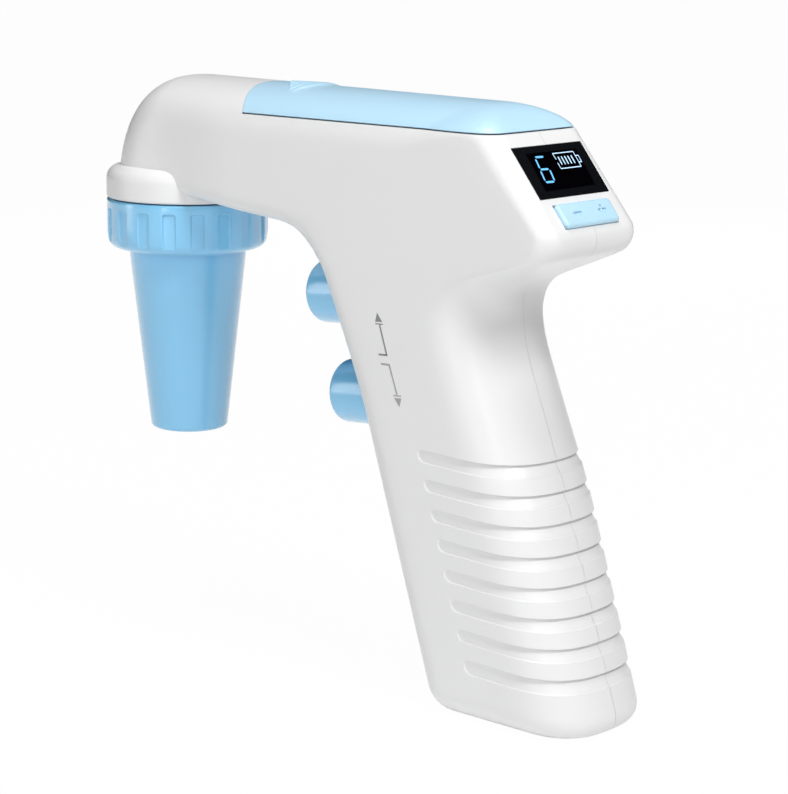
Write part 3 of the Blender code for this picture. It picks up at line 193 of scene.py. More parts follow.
def cutMesh(mesh, tool, operation="DIFFERENCE"):
    # one Boolean, applied, between two meshes
    pair = [bpy.data.objects.new(name, shape) for name, shape in (("cutBase", mesh), ("cutTool", tool))]
    for item in pair:
        bpy.context.scene.collection.objects.link(item)
    step = pair[0].modifiers.new("cut", "BOOLEAN")
    step.operation = operation
    step.object = pair[1]
    graph = bpy.context.evaluated_depsgraph_get()
    done = bpy.data.meshes.new_from_object(pair[0].evaluated_get(graph))
    for item in pair:
        bpy.data.objects.remove(item)
    return done


def boxMesh(name, low, high, axes=None):
    # axes is a matrix whose frame the corners are given in, else the nose frame
    def build(work):
        bmesh.ops.create_cube(work, size=1.0)
        for v in work.verts:
            corner = [(h if c > 0 else l) for c, l, h in zip(v.co, low, high)]
            v.co = axes @ Vector(corner) if axes else place(*corner)
    return meshOf(name, build)


def turnedMesh(name, profile, sides, axes=None):
    # profile of (radius, height) turned about the third axis of the frame
    def build(work):
        rings = []
        for r, z in profile:
            if r < 1e-6:
                rings.append([work.verts.new(axes @ Vector((0, 0, z)) if axes else place(0, 0, z))] * sides)
                continue
            ring = []
            for k in range(sides):
                a = 2 * math.pi * k / sides
                spot = (r * math.cos(a), r * math.sin(a), z)
                ring.append(work.verts.new(axes @ Vector(spot) if axes else place(*spot)))
            rings.append(ring)
        for a, b in zip(rings, rings[1:]):
            for k in range(sides):
                corners = [a[k], a[(k + 1) % sides], b[(k + 1) % sides], b[k]]
                kept = [v for i, v in enumerate(corners) if v not in corners[:i]]
                if len(kept) > 2:
                    work.faces.new(kept)
    return meshOf(name, build)


def joined(name, meshes):
    work = bmesh.new()
    for mesh in meshes:
        work.from_mesh(mesh)
    mesh = bpy.data.meshes.new(name)
    work.to_mesh(mesh)
    work.free()
    return mesh


def arc(centreR, centreZ, radius, start, end, steps):
    turns = np.radians(np.linspace(start, end, steps + 1))
    return [(centreR + radius * math.cos(a), centreZ + radius * math.sin(a)) for a in turns]


# plastics of the shell, the cover, the nose and the triggers
whiteAbs = mouldedPlastic("moulded white ABS", "#F0F0F0", "#EDEDED", 0.36, 0.35, 0.004)
skyAbs = mouldedPlastic("moulded sky blue ABS", "#C4E9FE", "#BFE6FD", 0.30, 0.40, 0.004)
blueAbs = mouldedPlastic("moulded deep blue ABS", "#88D0F8", "#82CBF6", 0.22, 0.40, 0.001, 0.25, 0.8)
print("finishes for the shell ready")


# housing: one loft from the nose dome round to the foot, parted in the middle plane
body = {
    "halfWidth": 15.75, "wall": 2.0, "seam": 0.07,
    "skirtRadius": collarRadius, "skirtHeight": 7.5, "shoulder": 3.2,
    "domeReach": 22.4, "domeZ": 7.0, "domeX": 5.4, "noseHalf": 14.4, "noseTaper": 22.0,
    "crest": 28.75, "crestFall": 1.15, "underside": 2.9,
    "crestRound": 10.5, "crestPower": 2.3, "footRound": 5.0,
}
grooves = {"count": 8, "top": -46.8, "pitch": 6.19, "width": 2.75, "startX": 86.8, "slope": 0.316,
           "sideDepth": 0.30, "backDepth": 0.90, "riseFront": 2.1, "riseBack": 0.5}
crownCount, flankCount, edgeCount = 22, 16, 9


class SideLine:  # a side outline of straight runs joined by fillets, read by length or by height
    def __init__(self, corners):
        points, marks = [], []
        knots = [np.array(c[:2], float) for c in corners]
        for k, corner in enumerate(corners):
            here, radius = knots[k], corner[2]
            if radius == 0:
                points.append(here)
                continue
            back = (knots[k - 1] - here) / np.linalg.norm(knots[k - 1] - here)
            ahead = (knots[k + 1] - here) / np.linalg.norm(knots[k + 1] - here)
            halfAngle = math.acos(np.clip(back @ ahead, -1, 1)) / 2
            reach = radius / math.tan(halfAngle)
            centre = here + (back + ahead) / np.linalg.norm(back + ahead) * radius / math.sin(halfAngle)
            first = here + back * reach - centre
            side = np.sign(first[1] * back[0] - first[0] * back[1])
            marks.append(len(points))
            for a in np.linspace(0, math.pi - 2 * halfAngle, 41) * side:
                points.append(centre + [first[0] * math.cos(a) - first[1] * math.sin(a),
                                        first[0] * math.sin(a) + first[1] * math.cos(a)])
            marks.append(len(points) - 1)
        self.points = np.array(points)
        gaps = np.linalg.norm(np.diff(self.points, axis=0), axis=1)
        self.lengths = np.concatenate([[0], np.cumsum(gaps)])
        self.marks = [self.lengths[m] for m in marks]
        heading = np.gradient(self.points, self.lengths, axis=0)
        heading /= np.linalg.norm(heading, axis=1)[:, None]
        self.left = np.stack([-heading[:, 1], heading[:, 0]], axis=1)

    def at(self, length, inset=0.0):
        point = np.array([np.interp(length, self.lengths, self.points[:, k]) for k in (0, 1)])
        normal = np.array([np.interp(length, self.lengths, self.left[:, k]) for k in (0, 1)])
        normal /= np.linalg.norm(normal)
        return point - normal * inset, normal

    def lengthAtHeight(self, z, inset=0.0, start=0.0):
        tries = np.linspace(start, self.lengths[-1], 1500)
        heights = np.array([self.at(s, inset)[0][1] for s in tries])
        below = np.nonzero(heights <= z)[0]
        if len(below) == 0:
            return tries[-1]
        k = max(below[0], 1)
        share = (heights[k - 1] - z) / max(heights[k - 1] - heights[k], 1e-9)
        return tries[k - 1] + (tries[k] - tries[k - 1]) * min(max(share, 0.0), 1.0)


outer = SideLine([(body["domeX"], 28.75, 0), (101.4, 27.6, 15.0), (123.95, -0.45, 4.3), (102.6, -10.2, 5.2),
                  (102.5, -20.9, 36.0), (114.7, -52.0, 120.0), (130.9, footZ, 0)])
finger = SideLine([(body["domeX"], body["underside"], 0), (53.0, -2.0, 17.2), (67.9, -37.5, 150.0),
                   (89.2, footZ, 0)])
rearStart, rearEnd, lipStart, lipEnd, neckStart = outer.marks[:5]
curlStart, curlEnd = finger.marks[:2]

# depth, half-width and power of the crown along the outer outline
crownAt = [rearStart, rearEnd, lipStart, lipEnd, neckStart, neckStart + 10, neckStart + 24, neckStart + 60]
crownShape = [(19.4, 15.75, 2.3), (5.0, 5.0, 2.0), (4.2, 4.2, 2.0), (5.5, 6.5, 2.0), (9.5, 12.0, 2.1),
              (14.0, 15.75, 2.1), (15.0, 15.75, 2.3), (15.0, 15.75, 2.6)]
edgeAt, edgeShape = [curlStart - 12, curlStart + 8, curlEnd + 20], [3.0, 5.0, 6.5]


def eased(knots, values, at):
    k = int(np.clip(np.searchsorted(knots, at) - 1, 0, len(knots) - 2))
    t = np.clip((at - knots[k]) / (knots[k + 1] - knots[k]), 0, 1)
    t = t * t * (3 - 2 * t)
    return np.array(values[k]) * (1 - t) + np.array(values[k + 1]) * t


def crownCurve(depth, half, power, flatHalf, count):
    fine = np.linspace(0, math.pi / 2, 120)
    back = depth * (1 - np.cos(fine) ** (2 / power))
    out = (flatHalf - half) + half * np.sin(fine) ** (2 / power)
    if flatHalf - half > 0.01:
        back, out = np.concatenate([[0], back]), np.concatenate([[0], out])
    run = np.hypot(np.diff(back), np.diff(out))
    heading = np.unwrap(np.arctan2(np.diff(back), np.diff(out)))
    bend = np.abs(np.diff(heading, prepend=heading[0]))
    spread = np.concatenate([[0], np.cumsum(run / run.sum() + bend / max(bend.sum(), 1e-6))])
    wanted = np.linspace(0, spread[-1], count)
    return np.interp(wanted, spread, back), np.interp(wanted, spread, out)


def step(low, high, value):
    t = min(max((value - low) / (high - low), 0.0), 1.0)
    return t * t * (3 - 2 * t)


def grooveDepth(u, v):
    # u runs from the groove's rounded end towards the back, v down from its upper edge
    width = grooves["width"]
    r = width / 2
    inside = r - math.hypot(r - u, v - r) if u < r else min(v, width - v)
    deeper = step(2, 20, u)
    upper = grooves["sideDepth"] + (grooves["backDepth"] - grooves["sideDepth"]) * deeper
    lower = grooves["sideDepth"] * (1 - 0.35 * deeper)
    floor = upper + (lower - upper) * v / width
    return floor * step(-0.02, 0.16, inside)


def narrowing(length):
    return (body["halfWidth"] - body["noseHalf"]) * (1 - step(0, body["noseTaper"], length))


def domeTip(pole, way, inset):
    # the dome's side profile is a quarter ellipse about a point on the collar's plane
    reach, height = body["domeReach"] - inset, body["crest"] - inset
    a = (way[0] / reach) ** 2 + (way[1] / height) ** 2
    b = pole[1] * way[1] / height ** 2
    c = (pole[1] / height) ** 2 - 1
    return pole + way * (math.sqrt(b * b - a * c) - b) / a


def makeRing(end, start, crown, edge, inset=0.0, shrink=0.0, narrow=0.0, lean=None, drop=None, waist=None):
    # lean is where the grooves begin along the section, drop is the height below a groove's upper edge
    halfWidth = body["halfWidth"] - narrow - inset - shrink
    end, start = np.array(end), np.array(start)
    length = np.linalg.norm(end - start)
    along = (end - start) / length
    depth, half, power = crown
    depth = max(depth - inset - shrink, 0.8)
    half = min(max(half - inset - shrink, 0.8), halfWidth)
    back, out = crownCurve(depth, half, power, halfWidth, crownCount)
    edge = max(edge - inset - shrink, 0.8)
    edgeBack, edgeOut = crownCurve(edge, edge, 2.0, halfWidth, edgeCount)
    top, bottom = length - back[-1], edgeBack[-1]
    if waist is not None:
        levels = np.concatenate([np.linspace(top, waist, flankCount - 3)[1:],
                                 np.linspace(waist, bottom, 6)[1:-1]])
    elif lean is None:
        levels = np.linspace(top, bottom, flankCount + 2)[1:-1]
    else:
        lean = min(max(lean, bottom + 2.5), top - 4.0)
        levels = np.concatenate([np.linspace(top, lean + 3.0, 5)[1:],
                                 lean + np.array([2.0, 1.3, 0.85, 0.5, 0.25, 0.05, -0.15, -0.5]),
                                 np.linspace(lean - 1.2, bottom, 5)[:-1]])
    line = np.array([(length - b, o) for b, o in zip(back, out)] + [(lv, halfWidth) for lv in levels]
                    + [(b, o) for b, o in zip(edgeBack[::-1], edgeOut[::-1])])
    if drop is not None:
        heading = np.gradient(line, axis=0)
        heading /= np.maximum(np.linalg.norm(heading, axis=1), 1e-9)[:, None]
        inward = np.stack([-heading[:, 1], heading[:, 0]], axis=1)
        inward[0] = (-1.0, 0.0)
        for k in range(len(line)):
            u = line[k][0] - lean
            if u > -0.3:
                line[k] += inward[k] * grooveDepth(u, drop)
        line[0][1] = 0.0
    return [(start[0] + along[0] * lv, max(o, 0.0), start[1] + along[1] * lv) for lv, o in line]


def lowerHeights(inset, grooved):
    # heights of the level sections, each with its drop below a groove's upper edge
    neckZ = outer.at(neckStart, inset)[0][1]
    bottom = footZ + max(body["footRound"], inset + 1.0)
    drops = (0, 0.4, 0.9, 1.5, 2.2, 3.1, 4.2, 5.5, 7.2, 9.2, 11.5, 14, 17, 20, 23, 26, 29, 32)
    levels = [(neckZ - d, None) for d in (drops if grooved else drops[::3])]
    if not grooved:
        return levels + [(z, None) for z in np.linspace(grooves["top"], bottom, 6)]
    for k in range(grooves["count"]):
        top = grooves["top"] - k * grooves["pitch"]
        levels += [(top - v, v) for v in (-0.35, -0.02, 0.05, 0.16, 0.35, 0.62, 0.95, 1.375, 1.8, 2.13, 2.4,
                                          2.59, 2.70, 2.77, 3.1, 4.0, 4.9)]
    return levels + [(bottom + 0.6, None), (bottom, None)]


def housingRings(inset, grooved, counts):
    domeSteps, crestSteps, turnSteps = counts
    pole = np.array([body["domeX"], body["domeZ"]])
    rings = []
    firstEnd, _ = outer.at(0.0, inset)
    firstStart, _ = finger.at(0.0, -inset)
    opening = makeRing(firstEnd, firstStart, (body["crestRound"], body["halfWidth"], body["crestPower"]),
                       edgeShape[0], inset, 0.0, narrowing(0), waist=body["domeZ"] - firstStart[1])
    low = crownCount + flankCount - 4
    for k in range(domeSteps):
        share = k / domeSteps
        angle = math.pi * (1 - share / 2)
        depth = body["noseHalf"] + (body["crestRound"] - body["noseHalf"]) * share
        power = 2.0 + (body["crestPower"] - 2.0) * share
        tip = domeTip(pole, np.array([math.cos(angle), math.sin(angle)]), inset)
        fan = makeRing(tip, pole, (depth, body["halfWidth"], power), 0.8, inset, 0.0, narrowing(0), waist=0.0)
        rings.append(fan[:low - 1] + opening[low - 1:])
    fingerKnots = [0.0, 24.6, rearStart, rearEnd, lipStart, lipEnd]
    turn = curlEnd - curlStart
    fingerValues = [0.0, 24.6] + [curlStart + f * turn for f in (0.25, 0.38, 0.55, 0.68)]
    stops = list(np.linspace(0, rearStart, crestSteps))
    for low, high, share in ((rearStart, rearEnd, 1.0), (rearEnd, lipStart, 0.5), (lipStart, lipEnd, 1.2),
                             (lipEnd, neckStart, 0.5)):
        stops += list(np.linspace(low, high, max(int(turnSteps * share), 2) + 1)[1:])
    stops.pop()
    rings.append(opening)
    for length in stops[1:]:
        end, normal = outer.at(length, inset)
        fingerLength = np.interp(length, fingerKnots, fingerValues)
        start, _ = finger.at(fingerLength, -inset)
        way = (end - start) / np.linalg.norm(end - start)
        if length <= rearStart:
            crown = (body["crestRound"] / max(way @ normal, 0.4), body["halfWidth"], body["crestPower"])
        else:
            crown = eased(crownAt, crownShape, length)
        rings.append(makeRing(end, start, crown, float(eased(edgeAt, edgeShape, fingerLength)), inset, 0.0,
                              narrowing(length)))
    neckZ = outer.at(neckStart, inset)[0][1]
    for z, drop in lowerHeights(inset, grooved):
        # the grip's sections lean up towards the fingers, as its grooves do, and level out at both ends
        tilt = (1 - step(neckZ - 24, neckZ, z)) * step(footZ + 5, footZ + 14, z)
        length = outer.lengthAtHeight(z + grooves["riseBack"] * tilt, inset, neckStart - 4)
        end, _ = outer.at(length, inset)
        fingerLength = finger.lengthAtHeight(z + grooves["riseFront"] * tilt, -inset)
        start, _ = finger.at(fingerLength, -inset)
        lean = grooves["startX"] + (grooves["top"] - z) * grooves["slope"] - start[0]
        rings.append(makeRing(end, start, eased(crownAt, crownShape, length),
                              float(eased(edgeAt, edgeShape, fingerLength)), inset, 0.0, 0.0, lean, drop))
    roundR = max(body["footRound"] - inset, 1.0)
    for angle in np.radians(np.linspace(0, 90, 9)[1:]):
        z = footZ + inset + roundR * (1 - math.sin(angle))
        shrink = roundR * (1 - math.cos(angle))
        end, _ = outer.at(outer.lengthAtHeight(z, inset, neckStart), inset)
        start, _ = finger.at(finger.lengthAtHeight(z, -inset), -inset)
        end, start = end - [shrink, 0], start + [shrink, 0]
        lean = grooves["startX"] + (grooves["top"] - z) * grooves["slope"] - start[0]
        rings.append(makeRing(end, start, crownShape[-1], edgeShape[-1], inset, shrink, 0.0, lean))
    return rings


def housingMesh(name, inset, grooved, counts):
    sections = housingRings(inset, grooved, counts)

    def build(work):
        loops = [[(x, -y, z) for x, y, z in half] + [(x, y, z) for x, y, z in half[-2:0:-1]]
                 for half in sections]
        rings = skin(work, [[place(*p) for p in loop] for loop in loops], ends=False)
        size = len(rings[0])
        hub = work.verts.new(place(body["domeX"], 0, body["domeZ"]))
        for k in range(size):
            work.faces.new((rings[0][(k + 1) % size], rings[0][k], hub))
        work.faces.new(rings[-1])
        bmesh.ops.remove_doubles(work, verts=work.verts, dist=0.000002)
        bmesh.ops.dissolve_degenerate(work, edges=work.edges, dist=0.000002)

    return meshOf(name, build)


def tiltedAxes(x, z, tilt):
    # a frame on the middle plane: first axis leans down by tilt, third axis is its normal
    turn = Matrix.Rotation(math.radians(tilt), 4, "Y")
    return Matrix.Translation(place(x, 0, z)) @ turn @ Matrix.Scale(mm, 4)


facetPoint = outer.at(rearEnd)[0]
facetWay = outer.at(lipStart)[0] - facetPoint
facetTilt = math.degrees(math.atan2(-facetWay[1], facetWay[0]))
facetAxes = tiltedAxes(facetPoint[0], facetPoint[1], facetTilt)

cover = {"z": 22.15, "front": 28.9, "bow": 5.5, "wall": 1.6, "gap": 0.3, "bowGap": 0.07, "over": 36.0}
window = {"top": 3.15, "length": 12.7, "width": 23.0, "gap": 0.1, "thick": 1.0, "pocket": 1.3}
key = {"top": 17.55, "length": 5.6, "width": 17.55, "proud": 0.95, "gap": 0.13, "pocket": 4.0, "corner": 1.0,
       "edge": 0.6, "markDepth": 0.34, "markHalf": 0.36, "markCorner": 0.34, "minusAt": -3.6, "plusAt": 4.6,
       "barHalf": 1.4, "stemHalf": 1.3, "pinBore": 0.9, "pinDepth": 2.3}
trigger = {"radius": 7.15, "rise": 4.0, "length": 20.6, "edge": 1.0, "gap": 0.3, "flange": 8.4,
           "flangeEnd": 22.1, "bore": 5.3, "boreEnd": 10.0, "roomEnd": 23.6,
           "faces": {"aspirate_trigger": (45.4, -17.7), "dispense_trigger": (52.7, -39.6)}}
jack = {"x": 103.0, "size": 9.0, "gap": 0.3, "depth": 3.0}
screws = {"places": [(21.0, 19.0), (62.5, -1.0), (104.0, -1.0), (79.8, -54.0), (93.5, -91.5)],
          "boss": 3.0, "bossFoot": 0.3, "bossEnd": 14.0, "shank": 1.5, "shankFoot": 0.1, "head": 2.6,
          "headSeat": 10.25, "wellEnd": 19.0}
seat = {"room": 12.6, "roomTop": 12.0, "flange": 17.0, "flangeTop": 5.4, "flangeFoot": 3.0, "neck": 15.6}


def bowedPlan(clearance, low, high, wide=19.75, pastLip=116.0):
    # a slab with the cover's bowed front, wider and longer than the housing
    radius = (body["halfWidth"] ** 2 + cover["bow"] ** 2) / (2 * cover["bow"])
    spread = math.asin(min(wide / radius, 1.0))
    centre = cover["front"] + radius
    line = [(centre - (radius - clearance) * math.cos(a), (radius - clearance) * math.sin(a))
            for a in np.linspace(spread, -spread, 49)] + [(pastLip, -wide), (pastLip, wide)]

    def build(work):
        skin(work, [[place(x, y, z) for x, y in line] for z in (low, high)])
    return meshOf("bowedPlan", build)


def triggerAxes(name):
    x, z = trigger["faces"][name]
    return tiltedAxes(x, z, -trigger["rise"]) @ Matrix.Rotation(math.radians(90), 4, "Y")


shell = housingMesh("shell", 0.0, True, (16, 12, 14))
hollow = housingMesh("hollow", body["wall"], False, (6, 6, 6))
skirtTop = arc(body["skirtRadius"] - body["shoulder"], body["skirtHeight"] - body["shoulder"],
               body["shoulder"], 90, 0, 10)
skirtFoot = [(body["skirtRadius"], 0.35), (body["skirtRadius"] - 0.3, 0), (0, 0)]
skirt = turnedMesh("skirt", [(0, body["skirtHeight"])] + skirtTop + skirtFoot, 144)
shell = cutMesh(shell, skirt, "UNION")
shell = cutMesh(shell, hollow)
noseBore = turnedMesh("noseBore", [(0, seat["roomTop"]), (seat["room"], seat["roomTop"]),
                                   (seat["room"], seat["flangeTop"]), (seat["flange"], seat["flangeTop"]),
                                   (seat["flange"], seat["flangeFoot"]), (seat["neck"], seat["flangeFoot"]),
                                   (seat["neck"], -1), (0, -1)], 64)
jackHalf = jack["size"] / 2 + jack["gap"]
rooms = [noseBore, bowedPlan(0.0, cover["z"], cover["over"]),
         boxMesh("windowRoom", (window["top"], -window["width"] / 2, -window["pocket"]),
                 (window["top"] + window["length"], window["width"] / 2, 1.0), facetAxes),
         boxMesh("keyRoom", (key["top"] - key["gap"], -key["width"] / 2 - key["gap"], -key["pocket"]),
                 (key["top"] + key["length"] + key["gap"], key["width"] / 2 + key["gap"], 3), facetAxes),
         boxMesh("jackRoom", (jack["x"] - jackHalf, -jackHalf, footZ - 2),
                 (jack["x"] + jackHalf, jackHalf, footZ + jack["depth"]))]
triggerBore = trigger["radius"] + trigger["gap"]
rooms += [turnedMesh("triggerRoom", [(0, -4), (triggerBore, -4), (triggerBore, trigger["roomEnd"]),
                                     (0, trigger["roomEnd"])], 64, triggerAxes(name))
          for name in trigger["faces"]]
shell = cutMesh(shell, joined("rooms", rooms))
print("housing shell cut:", len(shell.polygons), "faces")


def halfMesh(mesh, side):
    # the two mouldings part in the middle plane; each keeps its own flat sealing face
    def build(work):
        work.from_mesh(mesh)
        everything = work.verts[:] + work.edges[:] + work.faces[:]
        sealing = (0, side * body["seam"] / 2 * mm, 0)
        cut = bmesh.ops.bisect_plane(work, geom=everything, dist=1e-8, plane_co=sealing,
                                     plane_no=(0, -side, 0), clear_outer=True)["geom_cut"]
        rim = [e for e in cut if isinstance(e, bmesh.types.BMEdge)]
        bmesh.ops.triangle_fill(work, edges=rim, normal=(0, -side, 0), use_beauty=True)
    return meshOf("half", build)


for name, side in (("housing_left", -1), ("housing_right", 1)):
    half = halfMesh(shell, side)
    if side > 0:
        across = [Matrix.Translation(place(x, 0, z)) @ Matrix.Rotation(math.radians(-90), 4, "X")
                  @ Matrix.Scale(mm, 4) for x, z in screws["places"]]
        boss = [(0, screws["bossFoot"]), (screws["boss"], screws["bossFoot"]),
                (screws["boss"], screws["bossEnd"]), (0, screws["bossEnd"])]
        well = [(0, screws["shankFoot"]), (screws["shank"], screws["shankFoot"]),
                (screws["shank"], screws["headSeat"]), (screws["head"], screws["headSeat"]),
                (screws["head"], screws["wellEnd"]), (0, screws["wellEnd"])]
        bosses = [turnedMesh("boss", boss, 24, axes) for axes in across]
        wells = [turnedMesh("well", well, 32, axes) for axes in across]
        half = cutMesh(half, joined("bosses", bosses), "UNION")
        half = cutMesh(half, joined("wells", wells))
    addPiece("housingLeft" if side < 0 else "housingRight", smooth(half, 30), whiteAbs, "housing", [name])
print("housing halves done")


# battery cover with its thumb catch
catch = {"front": 34.0, "widest": 41.9, "edge": 43.1, "half": 8.6, "low": 0.42, "high": 0.66, "tail": 2.6,
         "ribPitch": 1.8, "ribDepth": 0.9}


def catchHeight(x, y):
    # a triangle pointing at the nose, crossed by ribs, that runs out in a short slope behind its middle
    bow = 1 - 0.9 * (abs(y) / catch["half"]) ** 1.3
    if x > catch["edge"]:
        side = catch["half"]
        tail = 0.35 + catch["tail"] * max(1 - (y / 6.0) ** 2, 0)
        level = catch["high"] * bow * (1 - step(catch["edge"], catch["edge"] + tail, x))
    else:
        share = max(x - catch["front"], 0.0) / (catch["edge"] - catch["front"])
        side = catch["half"] * min((x - catch["front"]) / (catch["widest"] - catch["front"]), 1.0)
        level = (catch["low"] + (catch["high"] - catch["low"]) * share) * bow
        # each rib has a steep rear wall and a softer front one, with a groove before the next
        turn = (catch["edge"] - x) / catch["ribPitch"] % 1
        level *= 1 - catch["ribDepth"] * (1 - step(0.0, 0.2, turn) + step(0.62, 0.9, turn))
    edge = side - abs(y)
    return level * step(0.0, 0.25, edge) - 0.15 * step(0.05, -0.2, edge) * (x < catch["edge"])


def catchMesh():
    rows = np.arange(catch["front"] - 0.3, catch["edge"] + catch["tail"] + 0.5, 0.1)
    columns = np.linspace(-catch["half"] - 0.4, catch["half"] + 0.4, 113)

    def crown(x, y):
        power = body["crestPower"]
        sag = body["crestRound"] * (1 - (1 - (abs(y) / body["halfWidth"]) ** power) ** (1 / power))
        return body["crest"] - body["crestFall"] * (x - body["domeX"]) / (101.4 - body["domeX"]) - sag

    def build(work):
        upper, lower = [], []
        for x in rows:
            upper.append([work.verts.new(place(x, y, crown(x, y) + catchHeight(x, y) - 0.01))
                          for y in columns])
            lower.append([work.verts.new(place(x, y, crown(x, y) - 0.8)) for y in columns])
        last = len(columns) - 1
        for i in range(len(rows) - 1):
            for j in range(last):
                work.faces.new((upper[i][j], upper[i][j + 1], upper[i + 1][j + 1], upper[i + 1][j]))
                work.faces.new((lower[i][j], lower[i + 1][j], lower[i + 1][j + 1], lower[i][j + 1]))
            for j in (0, last):
                work.faces.new((upper[i][j], upper[i + 1][j], lower[i + 1][j], lower[i][j]))
        for i in (0, len(rows) - 1):
            for j in range(last):
                work.faces.new((upper[i][j], upper[i][j + 1], lower[i][j + 1], lower[i][j]))
    return meshOf("catch", build)


coverSkin = housingMesh("coverSkin", 0.0, False, (16, 14, 18))
coverPlan = bowedPlan(cover["bowGap"], cover["z"] + cover["gap"], cover["over"])
coverSkin = cutMesh(coverSkin, coverPlan, "INTERSECT")
coverSkin = cutMesh(coverSkin, housingMesh("coverInside", cover["wall"], False, (4, 8, 8)))
coverSkin = cutMesh(coverSkin, catchMesh(), "UNION")
addPiece("batteryCover", smooth(coverSkin, 28), skyAbs, "battery_cover", ["battery_cover"])
print("battery cover done")


# nose: slotted collar and cone in one moulding
nose = {"radius": collarRadius, "edge": 0.45, "gap": 0.35, "drop": 12.0, "lip": 2.6, "fillet": 0.9,
        "coneTop": 13.8, "coneStart": 13.4, "coneTip": 9.2, "tipEdge": 1.1, "length": 55.5, "mouth": 7.6,
        "throat": 12.2, "bore": 15.5, "boreEnd": 11.6,
        "slots": 18, "slotWidth": 3.1, "slotDepth": 0.5, "slotTop": -2.4, "slotCorner": 0.6, "slotTurn": 3.6}


def noseMesh():
    # steps round the collar, in millimetres from a slot's middle, close together at the slot's walls
    edges = [-1.9, -1.7, -1.58, -1.46, -1.32, -1.1, -0.7, 0, 0.7, 1.1, 1.32, 1.46, 1.58, 1.7, 1.9, 2.5,
             3.3155]
    pitch = 360 / nose["slots"]
    angles = [math.radians(nose["slotTurn"] + pitch * k) + e / nose["radius"]
              for k in range(nose["slots"]) for e in edges]
    rim = nose["radius"] - 0.15 - nose["lip"]
    tipZ = -(nose["length"] - nose["tipEdge"])
    outside = arc(nose["radius"] - nose["edge"], -nose["gap"] - nose["edge"], nose["edge"], 90, 0, 4)
    outside += [(nose["radius"] - 0.01, z)
                for z in (-1.6, -2.2, -2.38, -2.5, -2.62, -2.8, -3.1, -3.6, -4.6, -6.4, -8.2)]
    outside += arc(rim, -(nose["drop"] - nose["lip"]), nose["lip"], 0, -90, 12)
    outside += [(rim - 0.8, -nose["drop"]), (14.9, -nose["drop"])]
    outside += arc(nose["coneTop"] + nose["fillet"], -nose["drop"] - nose["fillet"], nose["fillet"],
                   90, 180, 6)[1:]
    outside += [(nose["coneTop"] + (nose["coneTip"] - nose["coneTop"]) * t,
                 -nose["coneStart"] + (tipZ + nose["coneStart"]) * t) for t in np.linspace(0.02, 1, 14)]
    outside += arc(nose["coneTip"] - nose["tipEdge"], tipZ, nose["tipEdge"], 0, -90, 6)[1:]
    inside = [(nose["mouth"] + 0.3, -nose["length"]), (nose["mouth"], 0.3 - nose["length"]),
              (nose["mouth"], 0.5 - nose["length"]), (nose["throat"], -nose["coneStart"]),
              (nose["throat"], -nose["boreEnd"]), (nose["bore"], -nose["boreEnd"]), (nose["bore"], -0.9),
              (nose["bore"] + 0.4, -nose["gap"])]
    slotFloor = nose["radius"] - nose["slotDepth"]

    def build(work):
        rings = []
        for r, z in outside + inside:
            ring = []
            for a in angles:
                near = (math.degrees(a) - nose["slotTurn"]) % pitch
                across = abs((near - pitch if near > pitch / 2 else near) * math.pi / 180 * nose["radius"])
                reach = r
                if (r, z) in outside and z > -nose["drop"] - 0.01 and r > slotFloor:
                    cornerX = max(across - (nose["slotWidth"] / 2 - nose["slotCorner"]), 0)
                    cornerZ = max(z - (nose["slotTop"] - nose["slotCorner"]), 0)
                    depth = nose["slotCorner"] - math.hypot(cornerX, cornerZ)
                    reach = r + (slotFloor - r) * step(-0.06, 0.16, depth)
                ring.append(place(reach * math.cos(a), reach * math.sin(a), z))
            rings.append(ring)
        skin(work, rings, ends=False, looped=True)
    return meshOf("noseCone", build)


addPiece("noseCone", smooth(noseMesh(), 38), blueAbs, "nose_cone", ["nose_cone"])


# triggers: two push buttons, each held in by a flange behind the wall
for name in trigger["faces"]:
    r, edge = trigger["radius"], trigger["edge"]
    profile = [(0, 0)] + [(rr, zz) for rr, zz in arc(r - edge, edge, edge, -90, 0, 8)]
    profile += [(r, z) for z in (4, 8, 12, 16, trigger["length"])]
    profile += [(trigger["flange"], trigger["length"]), (trigger["flange"], trigger["flangeEnd"]),
                (trigger["bore"], trigger["flangeEnd"]), (trigger["bore"], trigger["boreEnd"]),
                (0, trigger["boreEnd"])]
    mesh = smooth(turnedMesh(name, profile, 96, triggerAxes(name)), 38)
    addPiece("upperTrigger" if name == "aspirate_trigger" else "lowerTrigger", mesh, blueAbs, name, [name])
print("nose and triggers done")


# rocker key with its moulded minus and plus
def padMesh(name, low, high, corner, edge, axes, steps=6):
    # a pressed pad: rounded corners in plan, rounded upper edge
    half = [(h - l) / 2 for l, h in zip(low, high)]
    middle = [(h + l) / 2 for l, h in zip(low, high)]
    levels = [(0.0, low[2])] + [(edge * (1 - math.cos(a)), high[2] - edge * (1 - math.sin(a)))
                                for a in np.linspace(0, math.pi / 2, steps)]

    def build(work):
        rings = []
        for inset, z in levels:
            r = corner - inset
            rings.append([axes @ Vector((middle[0] + sx * (half[0] - corner) + r * math.cos(a),
                                         middle[1] + sy * (half[1] - corner) + r * math.sin(a), z))
                          for sx, sy, first in ((1, 1, 0), (-1, 1, 90), (-1, -1, 180), (1, -1, 270))
                          for a in np.radians(np.linspace(first, first + 90, steps))])
        skin(work, rings)
    return meshOf(name, build)


